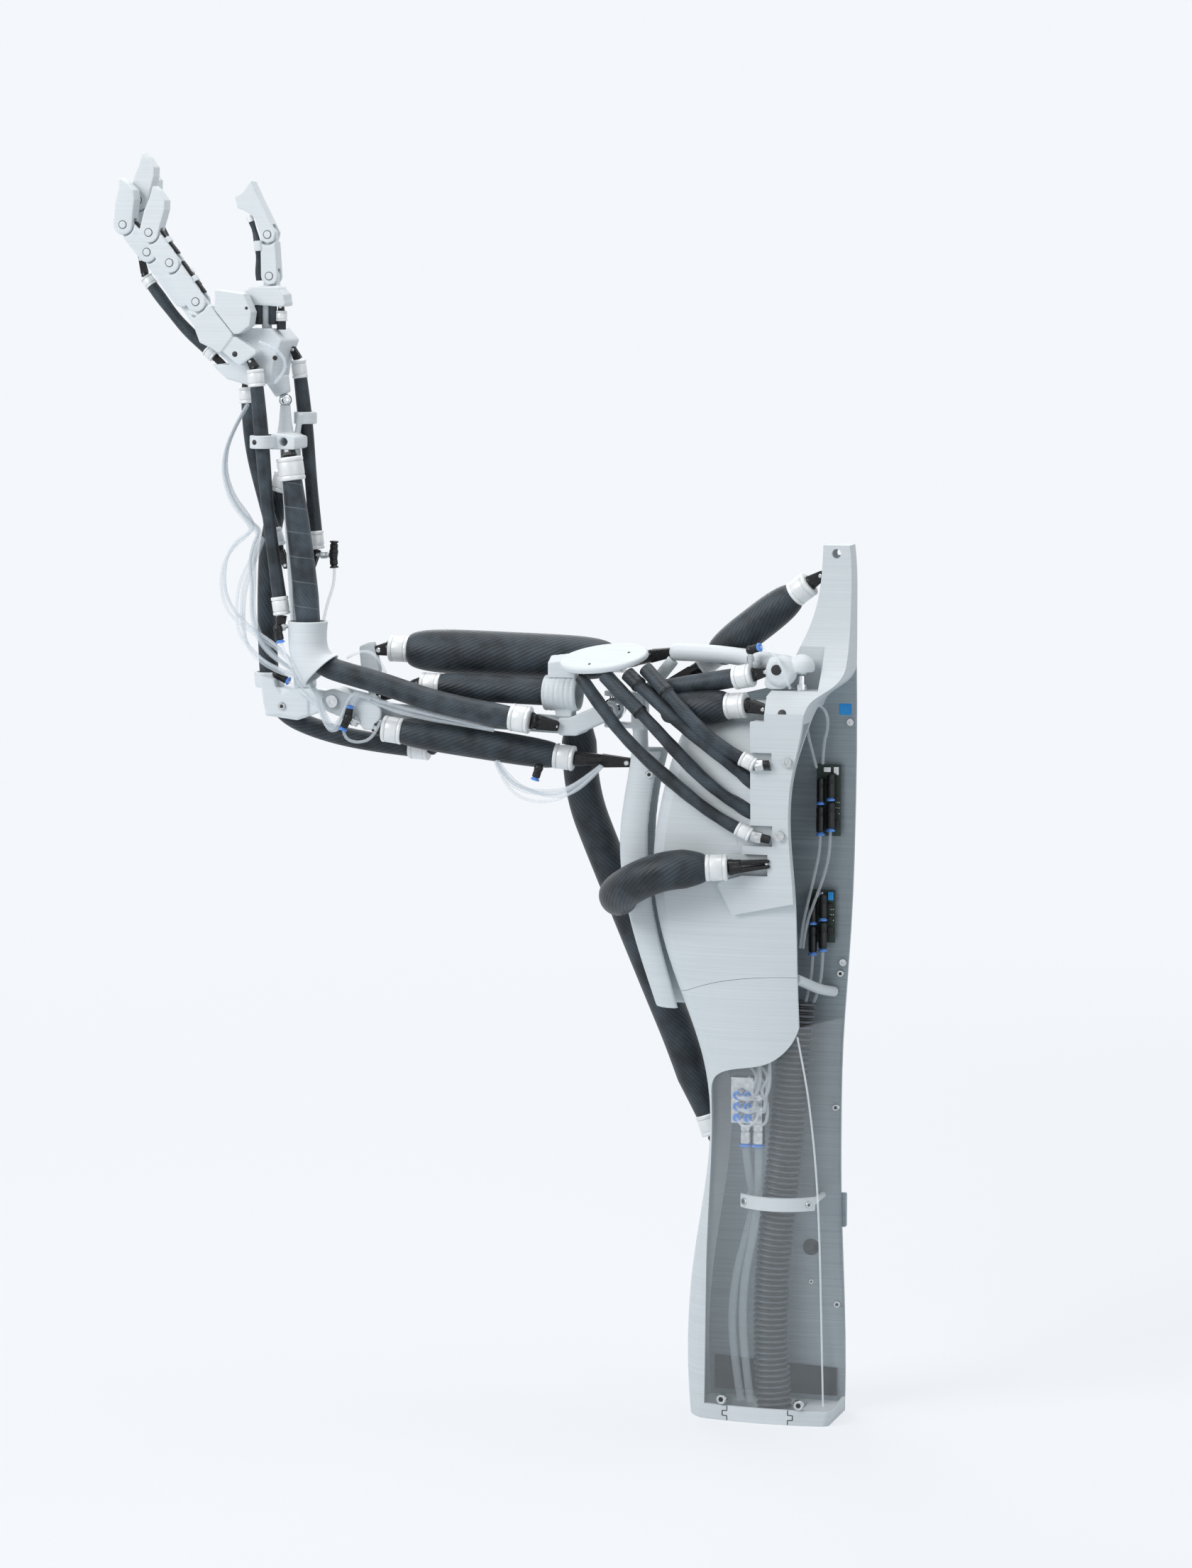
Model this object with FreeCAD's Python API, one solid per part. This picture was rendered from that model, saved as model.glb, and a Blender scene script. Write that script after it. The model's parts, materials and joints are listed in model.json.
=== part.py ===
import FreeCAD, Part
import math
import os

# Air-muscle humanoid right arm on a half torso, millimetres.
# Origin: centre of the base, on the face that stands on its support.  +Z up, the figure faces -Y,
# its right arm reaches out to -X with the elbow bent and the hand raised.

V = FreeCAD.Vector

# Clearances
CLEAR = 0.3            # between two solids of different bodies
SEAM = 0.4             # between two shells of one body
SWING = 1.8            # room round a finger joint for its bend
PIN_RUN = 0.08         # radial play of a pin in its hole
LOFT_DEGREE = 3        # lofts of a low degree follow their sections without bulging

# Torso shells and plate
WALL = 3.0             # printed shell wall
PLATE_FRONT = 33.0     # front face of the spine plate
PLATE_THICK = 4.0
PLATE_TOP = 846.0
TORSO_TOP = 703.0
FOOT_BAR = 15.0        # height of the closed ring at the foot of the waist shell
PANEL_FRONT = -49.0    # raised pectoral panel in front of the rib cage
PANEL_BACK = -42.0
FRONT_CROWN = 4.0      # bulge of the shells' front
BACK_TUCK = 10.0       # how far the flank turns in at the plate
FLANK_TURN = 18.0      # how far the flank turns in at the front
CORNER = 8.0           # front right corner of the section

# Height, left x, right x at the front, right x at the plate, and front y of the cross sections
TORSO_SECTIONS = [
    (0.0, -76.0, 70.0, 71.0, -35.0),
    (131.0, -76.0, 67.0, 69.5, -35.0),
    (215.0, -64.0, 63.0, 66.5, -35.0),
    (300.0, -57.0, 56.0, 66.0, -36.0),
    (358.0, -65.0, 47.0, 67.0, -38.0),
    (440.0, -94.0, 47.0, 72.0, -40.0),
    (508.0, -112.0, 47.0, 76.0, -40.0),
    (575.0, -112.0, 47.0, 78.0, -40.0),
    (640.0, -98.0, 52.0, 79.0, -38.0),
    (TORSO_TOP, -70.0, 62.0, 79.0, 8.0),
]
# Front view of the chest's open right rim, from the horn down to the waist
RIM = [(79.6, 742.0), (68.0, 722.0), (50.0, 708.0), (44.0, 685.0), (35.0, 642.0), (31.0, 595.0),
       (36.0, 523.0), (38.5, 446.0), (40.0, 393.0)]
# Lower edge of the waist apron, from the rim to the left post
APRON = [(40.0, 393.0), (29.5, 372.0), (13.0, 358.5), (-17.0, 351.0), (-40.0, 344.0), (-51.0, 321.0)]
WAIST_SEAM = [(-130.0, 404.0), (-75.0, 424.0), (-45.0, 434.0), (-20.0, 439.0), (90.0, 439.0)]
POST_FOOT_X = -55.0    # inner edge of the left post at the foot
FAR = 150.0            # reach of a cutting tool past the shells

# Horn over the spine
HORN_TOP = 857.0
HORN_HOLE = (64.0, 849.0)
HORN_HOLE_R = 4.5
# Height, left x, right x, front y
HORN_SECTIONS = [(688.0, -6.0, 78.0, -48.0), (704.0, 0.0, 78.5, -45.0), (722.0, 12.0, 79.0, -31.0),
                 (752.0, 28.0, 79.5, -8.0), (780.0, 40.0, 79.5, 2.0), (806.0, 47.0, 79.5, 6.0),
                 (HORN_TOP, 51.0, 77.0, 9.0)]
# Shelf for the collar bone and notch for the chest muscle's fork, cut into the horn's root
SHELF = ((-12.0, 719.0), (56.0, 760.0))
SHELF_BACK = -4.0
NOTCH = ((-12.0, 690.0), (7.0, 713.0))
NOTCH_BACK = -26.0

# Foot, windows, hose
FOOT_THICK = 10.0
FOOT_BOLT_X = 110.0
FOOT_BOLT_Y = 46.0
FOOT_BOLT_R = 3.3
KEY_HALF = 31.0        # half length of the dovetail key in the foot bar
KEY_TAIL = 5.0
KEY_PLAY = 0.2
PANE = 3.0             # acrylic pane
PANE_SET_BACK = 1.5    # pane behind the apron's front
CABLE_HOLE = (37.0, 163.0)
CABLE_HOLE_R = 6.0
PANEL_SCREWS = [(30.0, 652.0), (23.0, 581.0)]
PLATE_SCREWS = [(74.0, 684.0), (68.0, 448.0)]
HOSE_R = 17.5
FOOT_WINDOW = (78.0, (HOSE_R + CLEAR) * 2)
HOSE_ROUTE = [(9, 0, 0.5), (6, 0, 36), (4, 0, 90), (6, 0, 148), (11, 0, 200), (17, 0, 251),
              (22, 0, 306), (25, 0, 362), (30, 4, 412)]
STRAP_Z = 216.0
STRAP_WIDE = 13.0
STRAP_THICK = 4.0
STRAP_HALF = 37.0
STRAP_X = 14.0

# Air supply inside the torso
MANIFOLD = ((-32.0, -18.0, 293.0), (-1.0, -3.0, 338.0))
SUPPLY_R = 4.0
SUPPLY_X = (-19.0, -6.0)
SUPPLY_Y = -11.0
SUPPLY_ROUTES = [
    [(-19, SUPPLY_Y, 268.2), (-17, -9, 244), (-11.5, -5, 214), (-19, -9, 178), (-28, -13, 142),
     (-32, -14, 100), (-29, -14, 58), (-22, -14, 16)],
    [(-6, SUPPLY_Y, 268.2), (-5, -14, 246), (-5, -17, 216), (-10, -18, 178), (-18, -17, 142),
     (-21, -15, 100), (-18, -15, 58), (-12, -16, 16)],
]
BOARD_THICK = 1.6
BOARD_STAND = 7.0      # board in front of the plate
BOARDS = [(42.0, 66.0, 573.0, 643.0), (35.0, 61.0, 468.0, 520.0)]
VALVE_R = 4.2

# Shoulder girdle
STERNUM = (37.0, -20.0, 741.0)
STERNUM_BALL_R = 9.0
SCAPULA_WALL = 4.0
# Height, front edge x, outermost x of the shoulder blade
SCAPULA_SECTIONS = [(402.0, -89.0, -114.0), (437.0, -99.0, -126.0), (479.0, -110.0, -139.0),
                    (553.0, -120.0, -151.0), (605.0, -117.0, -147.0), (655.0, -106.0, -139.0)]
SCAPULA_FRONT = -12.0
SCAPULA_BACK = 26.0
SHOULDER = (-158.0, 6.0, 693.0)
SOCKET_R = 13.0        # half gap between the lugs of the shoulder
LUG_THICK = 5.0
LUG_R = 9.0
CROSS_PIN_R = 4.0
CLAVICLE_END = (-94.0, 10.0, 750.0)
CLAVICLE_R = 8.5

# Upper arm
HUMERUS_R = 9.0
HUMERUS_END = (-404.0, 6.0, 684.0)
HUMERUS_DROP = 8.0     # top of the humerus block below the shoulder's centre
CAP_CENTRE = (-161.0, -16.0, 742.0)
CAP_LENGTH = 90.0
CAP_WIDTH = 48.0
CAP_THICK = 6.0
CAP_TILT = 7.0         # degrees, outer end down
CAP_LEAN = 26.0        # degrees, front edge down
SLEEVE = (-225.0, -190.0)
SLEEVE_Y = -2.0
SLEEVE_Z = 708.0
SLEEVE_R = 17.5
SLEEVE_BORE = 15.0
SLEEVE_RIBS = 7

# Elbow and forearm
ELBOW = (-440.0, 0.0, 695.0)
ELBOW_R = 12.0
AXLE_R = 4.0
FORK_OUTER = 17.0      # half width over the humerus fork
FORK_PLATE = 5.0
FUNNEL_X = -461.5
FUNNEL_Y = -26.7
FUNNEL_R = 19.8
FUNNEL_TOP = 775.0
FUNNEL_MOUTH = (-447.5, FUNNEL_Y, 726.0)
FUNNEL_FLARE = 2.6
FUNNEL_WALL = 2.6
TRICEPS_CUP = (-520.0, 24.0)
CUP_R = 15.0
BRACKET_Z = 951.0
BRACKET_HIGH = 15.0
FRONT_GUIDE = (-506.0, -33.0, BRACKET_Z)
SIDE_GUIDE = (-478.0, 17.0, 973.0)
GUIDE_R = 9.0

# Wrist and hand
WRIST = (-493.0, 0.0, 991.0)
WRIST_BALL_R = 6.5
WRIST_PLAY = 0.3
FINGER_WIDE = 17.0
TONGUE_WIDE = 8.0
LINK_R = 10.0          # base end of a finger link
LINK_TIP_R = 8.0       # far end of a finger link
PIN_R = 2.5
FINGER_PITCH = 22.0
# Knuckle, middle joint, end joint and tip of each finger in front view
FINGERS = {
    "little": ((-571.0, 1088.0), (-598.0, 1126.0), (-619.5, 1155.5), (-614.5, 1201.0)),
    "ring": ((-594.0, 1092.0), (-630.0, 1136.0), (-655.0, 1163.0), (-658.0, 1209.0)),
    "middle": ((-598.0, 1096.0), (-632.0, 1147.0), (-647.0, 1187.0), (-642.0, 1234.0)),
    "index": ((-600.0, 1094.0), (-635.0, 1141.0), (-651.0, 1177.0), (-648.0, 1220.0)),
}
THUMB_Y = -10.0
THUMB_POST = (-508.0, 1064.0)
THUMB_JOINTS = ((-502.5, 1113.0), (-504.0, 1153.5))
THUMB_R = 8.5
THUMB_TIP_R = 7.5
POST_R = 5.0
PALM_FRONT = -41.5
PALM_BACK = 42.0
HEEL_FRONT = -24.0
HEEL_BACK = 30.0
ANCHOR_FRONT = -40.0
# Outer edge of the palm at its front face; it slants outward to the back
PALM_EDGE = [(-578.0, 1080.0), (-571.5, 1060.0), (-567.0, 1048.0), (-553.0, 1041.5), (-534.0, 1026.0)]
EDGE_SLANT = 0.373

# Air muscles: radius at the ends and at the belly
FERRULE_LONG = 19.0
FERRULE_LIP = 1.2


def vec(point):
    return point if isinstance(point, FreeCAD.Vector) else V(*point)


def rod(a, b, radius):
    a, b = vec(a), vec(b)
    return Part.makeCylinder(radius, (b - a).Length, a, b - a)


def block(low, high):
    low, high = vec(low), vec(high)
    size = high - low
    return Part.makeBox(size.x, size.y, size.z, low)


def turned(a, b, profile, smooth=False):
    """Body turned about the line from a to b; profile is (distance from a, radius)."""
    a, b = vec(a), vec(b)
    points = [V(radius, 0, along) for along, radius in profile]
    foot, head = V(0, 0, profile[0][0]), V(0, 0, profile[-1][0])
    if smooth:
        curve = Part.BSplineCurve()
        curve.interpolate(points)
        skin = [curve.toShape()]
    else:
        skin = [Part.makeLine(p, q) for p, q in zip(points, points[1:])]
    ends = [Part.makeLine(points[-1], head), Part.makeLine(head, foot)]
    face = Part.Face(Part.Wire([Part.makeLine(foot, points[0])] + skin + ends))
    body = face.revolve(V(0, 0, 0), V(0, 0, 1), 360)
    body.Placement = FreeCAD.Placement(a, FreeCAD.Rotation(V(0, 0, 1), b - a))
    return body


def bend(before, corner, after, radius):
    """Tangent arc round a corner: start, middle and end."""
    u = (before - corner).normalize()
    v = (after - corner).normalize()
    half = u.getAngle(v) / 2
    reach = radius / math.tan(half)
    middle = corner + (u + v).normalize() * (radius / math.sin(half) - radius)
    return corner + u * reach, middle, corner + v * reach


def rounded_polygon(points, radius):
    """Closed polygon whose corners are arcs of one radius."""
    points = [vec(p) for p in points]
    arcs = []
    for i, corner in enumerate(points):
        arcs.append(bend(points[i - 1], corner, points[(i + 1) % len(points)], radius))
    edges = []
    for i, (start, middle, end) in enumerate(arcs):
        edges.append(Part.Arc(start, middle, end).toShape())
        edges.append(Part.makeLine(end, arcs[(i + 1) % len(arcs)][0]))
    return Part.Wire(edges)


def rounded_slab(outline, radius, y0, y1):
    """Front view polygon with rounded corners, carried through from y0 to y1."""
    wire = rounded_polygon([(x, y0, z) for x, z in outline], radius)
    return Part.Face(wire).extrude(V(0, y1 - y0, 0))


def slab(paths, y0, y1):
    """Front view outline of straight (two points) and smooth (more points) paths, as a slab."""
    edges = []
    for path in paths:
        points = [V(x, y0, z) for x, z in path]
        if len(points) == 2:
            edges.append(Part.makeLine(*points))
        else:
            curve = Part.BSplineCurve()
            curve.interpolate(points)
            edges.append(curve.toShape())
    return Part.Face(Part.Wire(edges)).extrude(V(0, y1 - y0, 0))


def straight_slab(outline, y0, y1):
    points = [V(x, y0, z) for x, z in outline]
    return Part.Face(Part.makePolygon(points + points[:1])).extrude(V(0, y1 - y0, 0))


def tube(route, radius, name=None):
    """Round bar along straight runs joined by the largest tangent arcs that fit."""
    points = [vec(p) for p in route]
    edges = []
    start = points[0]
    radii = []
    for before, corner, after in zip(points, points[1:], points[2:]):
        turn = math.pi - (before - corner).getAngle(after - corner)
        shorter = min((corner - before).Length, (after - corner).Length)
        arc_radius = 0.45 * shorter / math.tan(turn / 2)
        radii.append(arc_radius)
        first, middle, last = bend(before, corner, after, arc_radius)
        edges.append(Part.LineSegment(start, first).toShape())
        edges.append(Part.Arc(first, middle, last).toShape())
        start = last
    edges.append(Part.LineSegment(start, points[-1]).toShape())
    path = Part.Wire(edges)
    ring = Part.Wire(Part.makeCircle(radius, points[0], points[1] - points[0]))
    body = path.makePipeShell([ring], True, False)
    if name:
        share = body.Volume / (math.pi * radius ** 2 * path.Length)
        print(name, "length", round(path.Length, 1), "volume share", round(share, 4),
              "least bend", round(min(radii), 1))
    return body


def fused(shapes):
    body = shapes[0].fuse(shapes[1:]) if len(shapes) > 1 else shapes[0]
    return body.removeSplitter()


def along(a, b, distance):
    """Point that far from a towards b; past b when the distance is longer."""
    a, b = vec(a), vec(b)
    return a + (b - a).normalize() * distance


def export(name, shapes):
    """One file per node; a group of separate solids is a compound."""
    shapes = shapes if isinstance(shapes, list) else [shapes]
    body = shapes[0] if len(shapes) == 1 else Part.makeCompound(shapes)
    solids = body.Solids
    if not solids or not body.isValid():
        raise ValueError("bad solid in " + name)
    body.exportStep("parts/" + name + ".step")


def muscle_belly(a, b, end_r, belly_r, gap=0.0):
    """Inflated air muscle between two ferrules, fullest in the middle."""
    a, b = along(a, b, gap), along(b, a, gap)
    length = (b - a).Length
    profile = [(0, end_r), (length * 0.06, end_r + (belly_r - end_r) * 0.25),
               (length * 0.2, end_r + (belly_r - end_r) * 0.86), (length * 0.5, belly_r),
               (length * 0.8, end_r + (belly_r - end_r) * 0.86),
               (length * 0.94, end_r + (belly_r - end_r) * 0.25), (length, end_r)]
    return turned(a, b, profile, smooth=True)


def ferrule(a, b, radius, length=FERRULE_LONG):
    """Crimped sleeve that starts at a, the muscle's end, and runs on towards b."""
    lip = FERRULE_LIP
    band = length * 0.16
    profile = [(0, radius - lip), (band, radius - lip), (band + lip, radius),
               (length - band, radius), (length - band + lip, radius - lip * 2),
               (length, radius - lip * 3)]
    return turned(a, along(a, b, length), profile)


def fork(a, b, radius, tongue):
    """Black end fork: a tapering collar from a that ends in a flat tongue at b."""
    reach = (vec(b) - vec(a)).Length
    collar = turned(a, b, [(0, radius), (reach * 0.3, radius), (reach * 0.7, tongue * 0.9),
                           (reach, tongue * 0.8)])
    return collar


# Torso

def torso_section(z, left, right, rear, front, inset, back):
    """One cross section, inset by the wall and drawn back to a given y."""
    left, right, rear, front = left + inset, right - inset, rear - inset, front + inset
    middle = (left + right) / 2
    p_back = V(left + BACK_TUCK, back, z)
    p_front = V(left + FLANK_TURN, front + FRONT_CROWN, z)
    p_corner = V(right - CORNER, front, z)
    p_side = V(right, front + CORNER, z)
    bow = CORNER * (1 - math.sqrt(0.5))
    return Part.Wire([
        Part.makeLine(V(rear, back, z), p_back),
        Part.Arc(p_back, V(left, (front + back) / 2, z), p_front).toShape(),
        Part.Arc(p_front, V(middle, front - FRONT_CROWN, z), p_corner).toShape(),
        Part.Arc(p_corner, V(right - bow, front + bow, z), p_side).toShape(),
        Part.makeLine(p_side, V(rear, back, z)),
    ])


def torso_loft(inset, back, top=0.0):
    """The torso's whole form, inset by a wall; top lowers its uppermost section."""
    wires = []
    for z, left, right, rear, front in TORSO_SECTIONS:
        if z == TORSO_TOP:
            z = z - top
        wires.append(torso_section(z, left, right, rear, front, inset, back))
    return Part.makeLoft(wires, True, False, False, LOFT_DEGREE)


def horn():
    """Curved horn that carries the neck muscle, lofted from the chest to its lug."""
    wires = []
    for z, left, right, front in HORN_SECTIONS:
        corners = [(left, PLATE_FRONT, z), (left, front, z), (right, front, z),
                   (right, PLATE_FRONT, z)]
        wires.append(Part.makePolygon([V(*c) for c in corners + corners[:1]]))
    body = Part.makeLoft(wires, True, False, False, LOFT_DEGREE)
    x, z = HORN_HOLE
    return body.cut(rod((x, -FAR, z), (x, FAR, z), HORN_HOLE_R))


def side_opening():
    """Everything right of the chest's rim, in front of the plate."""
    end = RIM[-1]
    return slab([RIM, [end, (FAR, end[1])], [(FAR, end[1]), (FAR, RIM[0][1])],
                 [(FAR, RIM[0][1]), RIM[0]]], -FAR, PLATE_FRONT)


def front_opening(gap=0.0):
    """Window below the apron, right of the left post and above the foot bar, less a gap."""
    edge = [(x + gap, z - gap) for x, z in APRON]
    first, last = edge[0], edge[-1]
    foot = (POST_FOOT_X + gap, FOOT_BAR + gap)
    opening = slab([edge, [last, foot], [foot, (FAR, foot[1])], [(FAR, foot[1]), (FAR, first[1])],
                    [(FAR, first[1]), first]], -FAR, PLATE_FRONT - gap)
    return opening.cut(block((-FAR, 0, 0), (0, FAR, FAR * 3)))


def below_seam(gap):
    """Half space under the seam between chest and waist, lowered by a gap."""
    seam = [(x, z - gap) for x, z in WAIST_SEAM]
    start, end = seam[0], seam[-1]
    return slab([seam, [end, (end[0], -FAR)], [(end[0], -FAR), (start[0], -FAR)],
                 [(start[0], -FAR), start]], -FAR, FAR)


PANEL = [(-7.0, 698.0), (-6.0, 592.0), (-14.0, 584.0), (-14.0, 541.0), (-40.0, 533.0),
         (-24.0, 502.0), (60.0, 520.0), (60.0, 698.0)]
# Pockets in the panel for the muscle ends: left, right, low and high
POCKETS = [(-20.0, 14.5, 643.5, 660.5), (-20.0, 15.5, 570.0, 590.0), (-60.0, 11.0, 541.0, 562.0)]


def torso_shells():
    """Chest shell with horn and raised panel, and the waist shell below the seam."""
    outer = torso_loft(0.0, PLATE_FRONT)
    inner = torso_loft(WALL, PLATE_FRONT + CLEAR, WALL)
    panel = rounded_slab(PANEL, 4.0, PANEL_FRONT, PANEL_BACK)
    body = fused([outer, panel, horn()]).cut(inner)
    for left, right, low, high in POCKETS:
        body = body.cut(block((left, -FAR, low), (right, PANEL_BACK - 2, high)))
    for ((x0, z0), (x1, z1)), deep in ((SHELF, SHELF_BACK), (NOTCH, NOTCH_BACK)):
        body = body.cut(block((x0, -FAR, z0), (x1, deep, z1)))
    for route in PECTORALS[1:3]:
        body = body.cut(tube(route[-3:], PECTORAL_R + PORT_PLAY))
    body = body.cut(side_opening()).cut(front_opening())
    wall = outer.cut(inner)
    key = wall.common(straight_slab(foot_key_outline(0.0), -FAR, 0.0))
    waist = body.common(below_seam(SEAM)).cut(straight_slab(foot_key_outline(KEY_PLAY), -FAR, 0.0))
    chest = body.cut(below_seam(0.0))
    return chest, waist, key


def foot_key_outline(grow):
    """Dovetail key in the foot bar, front view."""
    half, tail, low, high = KEY_HALF + grow, KEY_TAIL, FOOT_BAR / 3 - grow, FOOT_BAR * 2 / 3 + grow
    top = FOOT_BAR + grow * 5
    return [(-half, -1), (half, -1), (half, low), (half + tail, low), (half + tail, high),
            (half, high), (half, top), (-half, top), (-half, high),
            (-half - tail, high), (-half - tail, low), (-half, low)]


def spine_plate():
    """Flat back plate, cut to the outline of the shells and the horn in front of it."""
    left = [(section[1] + BACK_TUCK, section[0]) for section in TORSO_SECTIONS]
    right = [(section[3], section[0]) for section in reversed(TORSO_SECTIONS)]
    neck = [(x + 6.0, z) for z, x, _, _ in HORN_SECTIONS[2:-1]]
    neck_top = (neck[-1][0] + 4.0, PLATE_TOP)
    outer_top = (HORN_SECTIONS[-1][2], PLATE_TOP)
    back = PLATE_FRONT + PLATE_THICK
    plate = slab([left, [left[-1], neck[0]], neck + [neck_top], [neck_top, outer_top],
                  [outer_top, right[0]], right, [right[-1], left[0]]], PLATE_FRONT, back)
    hole_x, hole_z = CABLE_HOLE
    plate = plate.cut(rod((hole_x, -FAR, hole_z), (hole_x, FAR, hole_z), CABLE_HOLE_R))
    tab = rounded_slab([(64.0, 184.0), (71.0, 184.0), (71.0, 218.0), (64.0, 218.0)], 1.5, back, back + 4.0)
    return fused([plate, tab])


def window():
    """Bent clear pane that closes the waist's opening at the front and the side."""
    sheet = torso_loft(PANE_SET_BACK, PLATE_FRONT).cut(torso_loft(PANE_SET_BACK + PANE, PLATE_FRONT + 1))
    return sheet.common(front_opening(SEAM))


def base_foot():
    """Foot plate inside the waist shell with its four bolt holes and the hose window."""
    plate = torso_loft(WALL + SEAM, PLATE_FRONT - CLEAR).common(
        block((-FAR, -FAR, 0), (FAR, FAR, FOOT_THICK)))
    wide, deep = FOOT_WINDOW
    plate = plate.cut(block((-wide / 2, -deep / 2, -1), (wide / 2, deep / 2, FOOT_THICK + 1)))
    for x in (-FOOT_BOLT_X / 2, FOOT_BOLT_X / 2):
        for y in (-FOOT_BOLT_Y / 2, FOOT_BOLT_Y / 2):
            plate = plate.cut(rod((x, y, -1), (x, y, FOOT_THICK + 1), FOOT_BOLT_R))
    return plate


def hose_strap():
    """Bowed strap across the hose, on two posts from the spine plate."""
    low, high = STRAP_Z - STRAP_WIDE / 2, STRAP_Z + STRAP_WIDE / 2
    half, x = STRAP_HALF, STRAP_X
    front = [V(x - half, -15, low), V(x, -30, low), V(x + half, -15, low)]
    back = [p + V(0, STRAP_THICK, 0) for p in front]
    band = Part.Face(Part.Wire([
        Part.Arc(*front).toShape(), Part.makeLine(front[2], back[2]),
        Part.Arc(*back).toShape(), Part.makeLine(back[0], front[0])])).extrude(V(0, 0, STRAP_WIDE))
    posts = [rod((x + side * (half - 3), -14, STRAP_Z), (x + side * (half - 3), PLATE_FRONT, STRAP_Z), 3.2)
             for side in (-1, 1)]
    return fused([band] + posts)


def air_manifold():
    """Distributor block with a stepped top."""
    low, high = vec(MANIFOLD[0]), vec(MANIFOLD[1])
    bracket = block((low.x + 6, high.y, low.z + 8), (low.x + 16, PLATE_FRONT, low.z + 26))
    step = block((high.x - 9, low.y - 1, high.z - 12), (high.x + 1, high.y + 1, high.z + 1))
    return fused([block(low, high).cut(step), bracket])


def push_in(a, b, radius):
    """Push-in fitting: a body with a wider release ring at its mouth b."""
    length = (vec(b) - vec(a)).Length
    return turned(a, b, [(0, radius), (length - 3, radius), (length - 3, radius * 0.8),
                         (length - 2, radius * 0.8), (length - 2, radius * 1.1), (length, radius * 1.1)])


def torso_fittings():
    """Push-in fittings on the manifold and on the two valve boards."""
    low, high = vec(MANIFOLD[0]), vec(MANIFOLD[1])
    fittings = [push_in((x, SUPPLY_Y, low.z), (x, SUPPLY_Y, low.z - 24), 5.6) for x in SUPPLY_X]
    for x in (low.x + 8, low.x + 19):
        for z in (low.z + 7, low.z + 18, low.z + 29):
            fittings.append(push_in((x, low.y, z), (x, low.y - 10, z), 3.9))
    face = PLATE_FRONT - BOARD_STAND - BOARD_THICK
    for x0, x1, z0, z1 in BOARDS:
        for x in (x0 + 6, x0 + 16):
            top = z0 + (z1 - z0) * 0.72
            stem = rod((x, face, top), (x, face - 9, top), 3.4)
            down = push_in((x, face - 9, top + 4), (x, face - 9, top - 34), VALVE_R)
            fittings.append(fused([stem, down]))
    return fittings


def valve_boards():
    """Circuit boards on four spacers each."""
    front = PLATE_FRONT - BOARD_STAND - BOARD_THICK
    boards = []
    for x0, x1, z0, z1 in BOARDS:
        board = block((x0, front, z0), (x1, front + BOARD_THICK, z1))
        feet = [rod((x, front, z), (x, PLATE_FRONT, z), 2.2)
                for x in (x0 + 3.5, x1 - 3.5) for z in (z0 + 3.5, z1 - 3.5)]
        boards.append(fused([board] + feet))
    return boards


def screw_head(a, b, radius):
    """Low cylinder head with a drive recess, from its seat a to its face b."""
    head = rod(a, b, radius)
    height = (vec(b) - vec(a)).Length
    return head.cut(rod(along(b, a, height * 0.5), b, radius * 0.45))


def torso_screws():
    """Screws of the panel and the plate."""
    heads = []
    for x, z in PANEL_SCREWS:
        heads.append(screw_head((x, PANEL_FRONT, z), (x, PANEL_FRONT - 3, z), 5.0))
    for x, z in PLATE_SCREWS:
        heads.append(screw_head((x, PLATE_FRONT, z), (x, PLATE_FRONT - 4, z), 3.4))
    return heads


# Shoulder girdle

def sternum_stud():
    """Steel ball on its stud, screwed into the top of the chest."""
    x, y, z = STERNUM
    seat = SHELF[0][1]
    return fused([Part.makeSphere(STERNUM_BALL_R, V(x, y, z)), rod((x, y, seat), (x, y, z), 4.0),
                  rod((x, y, seat), (x, y, seat + 6), 6.0)])


def clavicle():
    """Collar bone: a cup round the sternum ball, a lug for the front muscle and a curved bar."""
    x, y, z = STERNUM
    cup_r = STERNUM_BALL_R + CLEAR
    cup = Part.makeSphere(cup_r + 3.5, V(x, y, z))
    cup = cup.common(block((x - 20, y - 20, z - 4), (x + 20, y + 20, z + 20)))
    lug = rounded_slab([(x - 36, z - 21), (x - 14, z - 21), (x - 6, z + 6), (x - 30, z + 12)], 6.0,
                       y - 9, y + 7)
    bar = tube([(x - 12, y + 2, z + 2), (x - 50, y + 14, z + 6), (x - 92, y + 25, z + 9),
                CLAVICLE_END], CLAVICLE_R)
    tip = Part.makeSphere(CLAVICLE_R, vec(CLAVICLE_END))
    body = fused([cup, lug, bar, tip]).cut(Part.makeSphere(cup_r, V(x, y, z)))
    return body.cut(rod((x - 25, -FAR, z - 2), (x - 25, FAR, z - 2), 4.0))


def scapula_section(z, edge, outer):
    """Curved band of the shoulder blade at one height."""
    wall = SCAPULA_WALL
    middle = (SCAPULA_FRONT + SCAPULA_BACK) / 2
    a, b, c = V(edge, SCAPULA_FRONT, z), V(outer, middle, z), V(outer + 9, SCAPULA_BACK, z)
    hem = V(edge, SCAPULA_BACK, z)
    turn = V(edge, SCAPULA_BACK - wall * 0.7, z)
    d, e, f = (V(outer + 9 + wall, SCAPULA_BACK - wall * 0.7, z), V(outer + wall, middle, z),
               V(edge + wall * 0.6, SCAPULA_FRONT + wall * 0.8, z))
    return Part.Wire([Part.Arc(a, b, c).toShape(), Part.makeLine(c, hem), Part.makeLine(hem, turn),
                      Part.makeLine(turn, d), Part.Arc(d, e, f).toShape(), Part.makeLine(f, a)])


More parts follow.
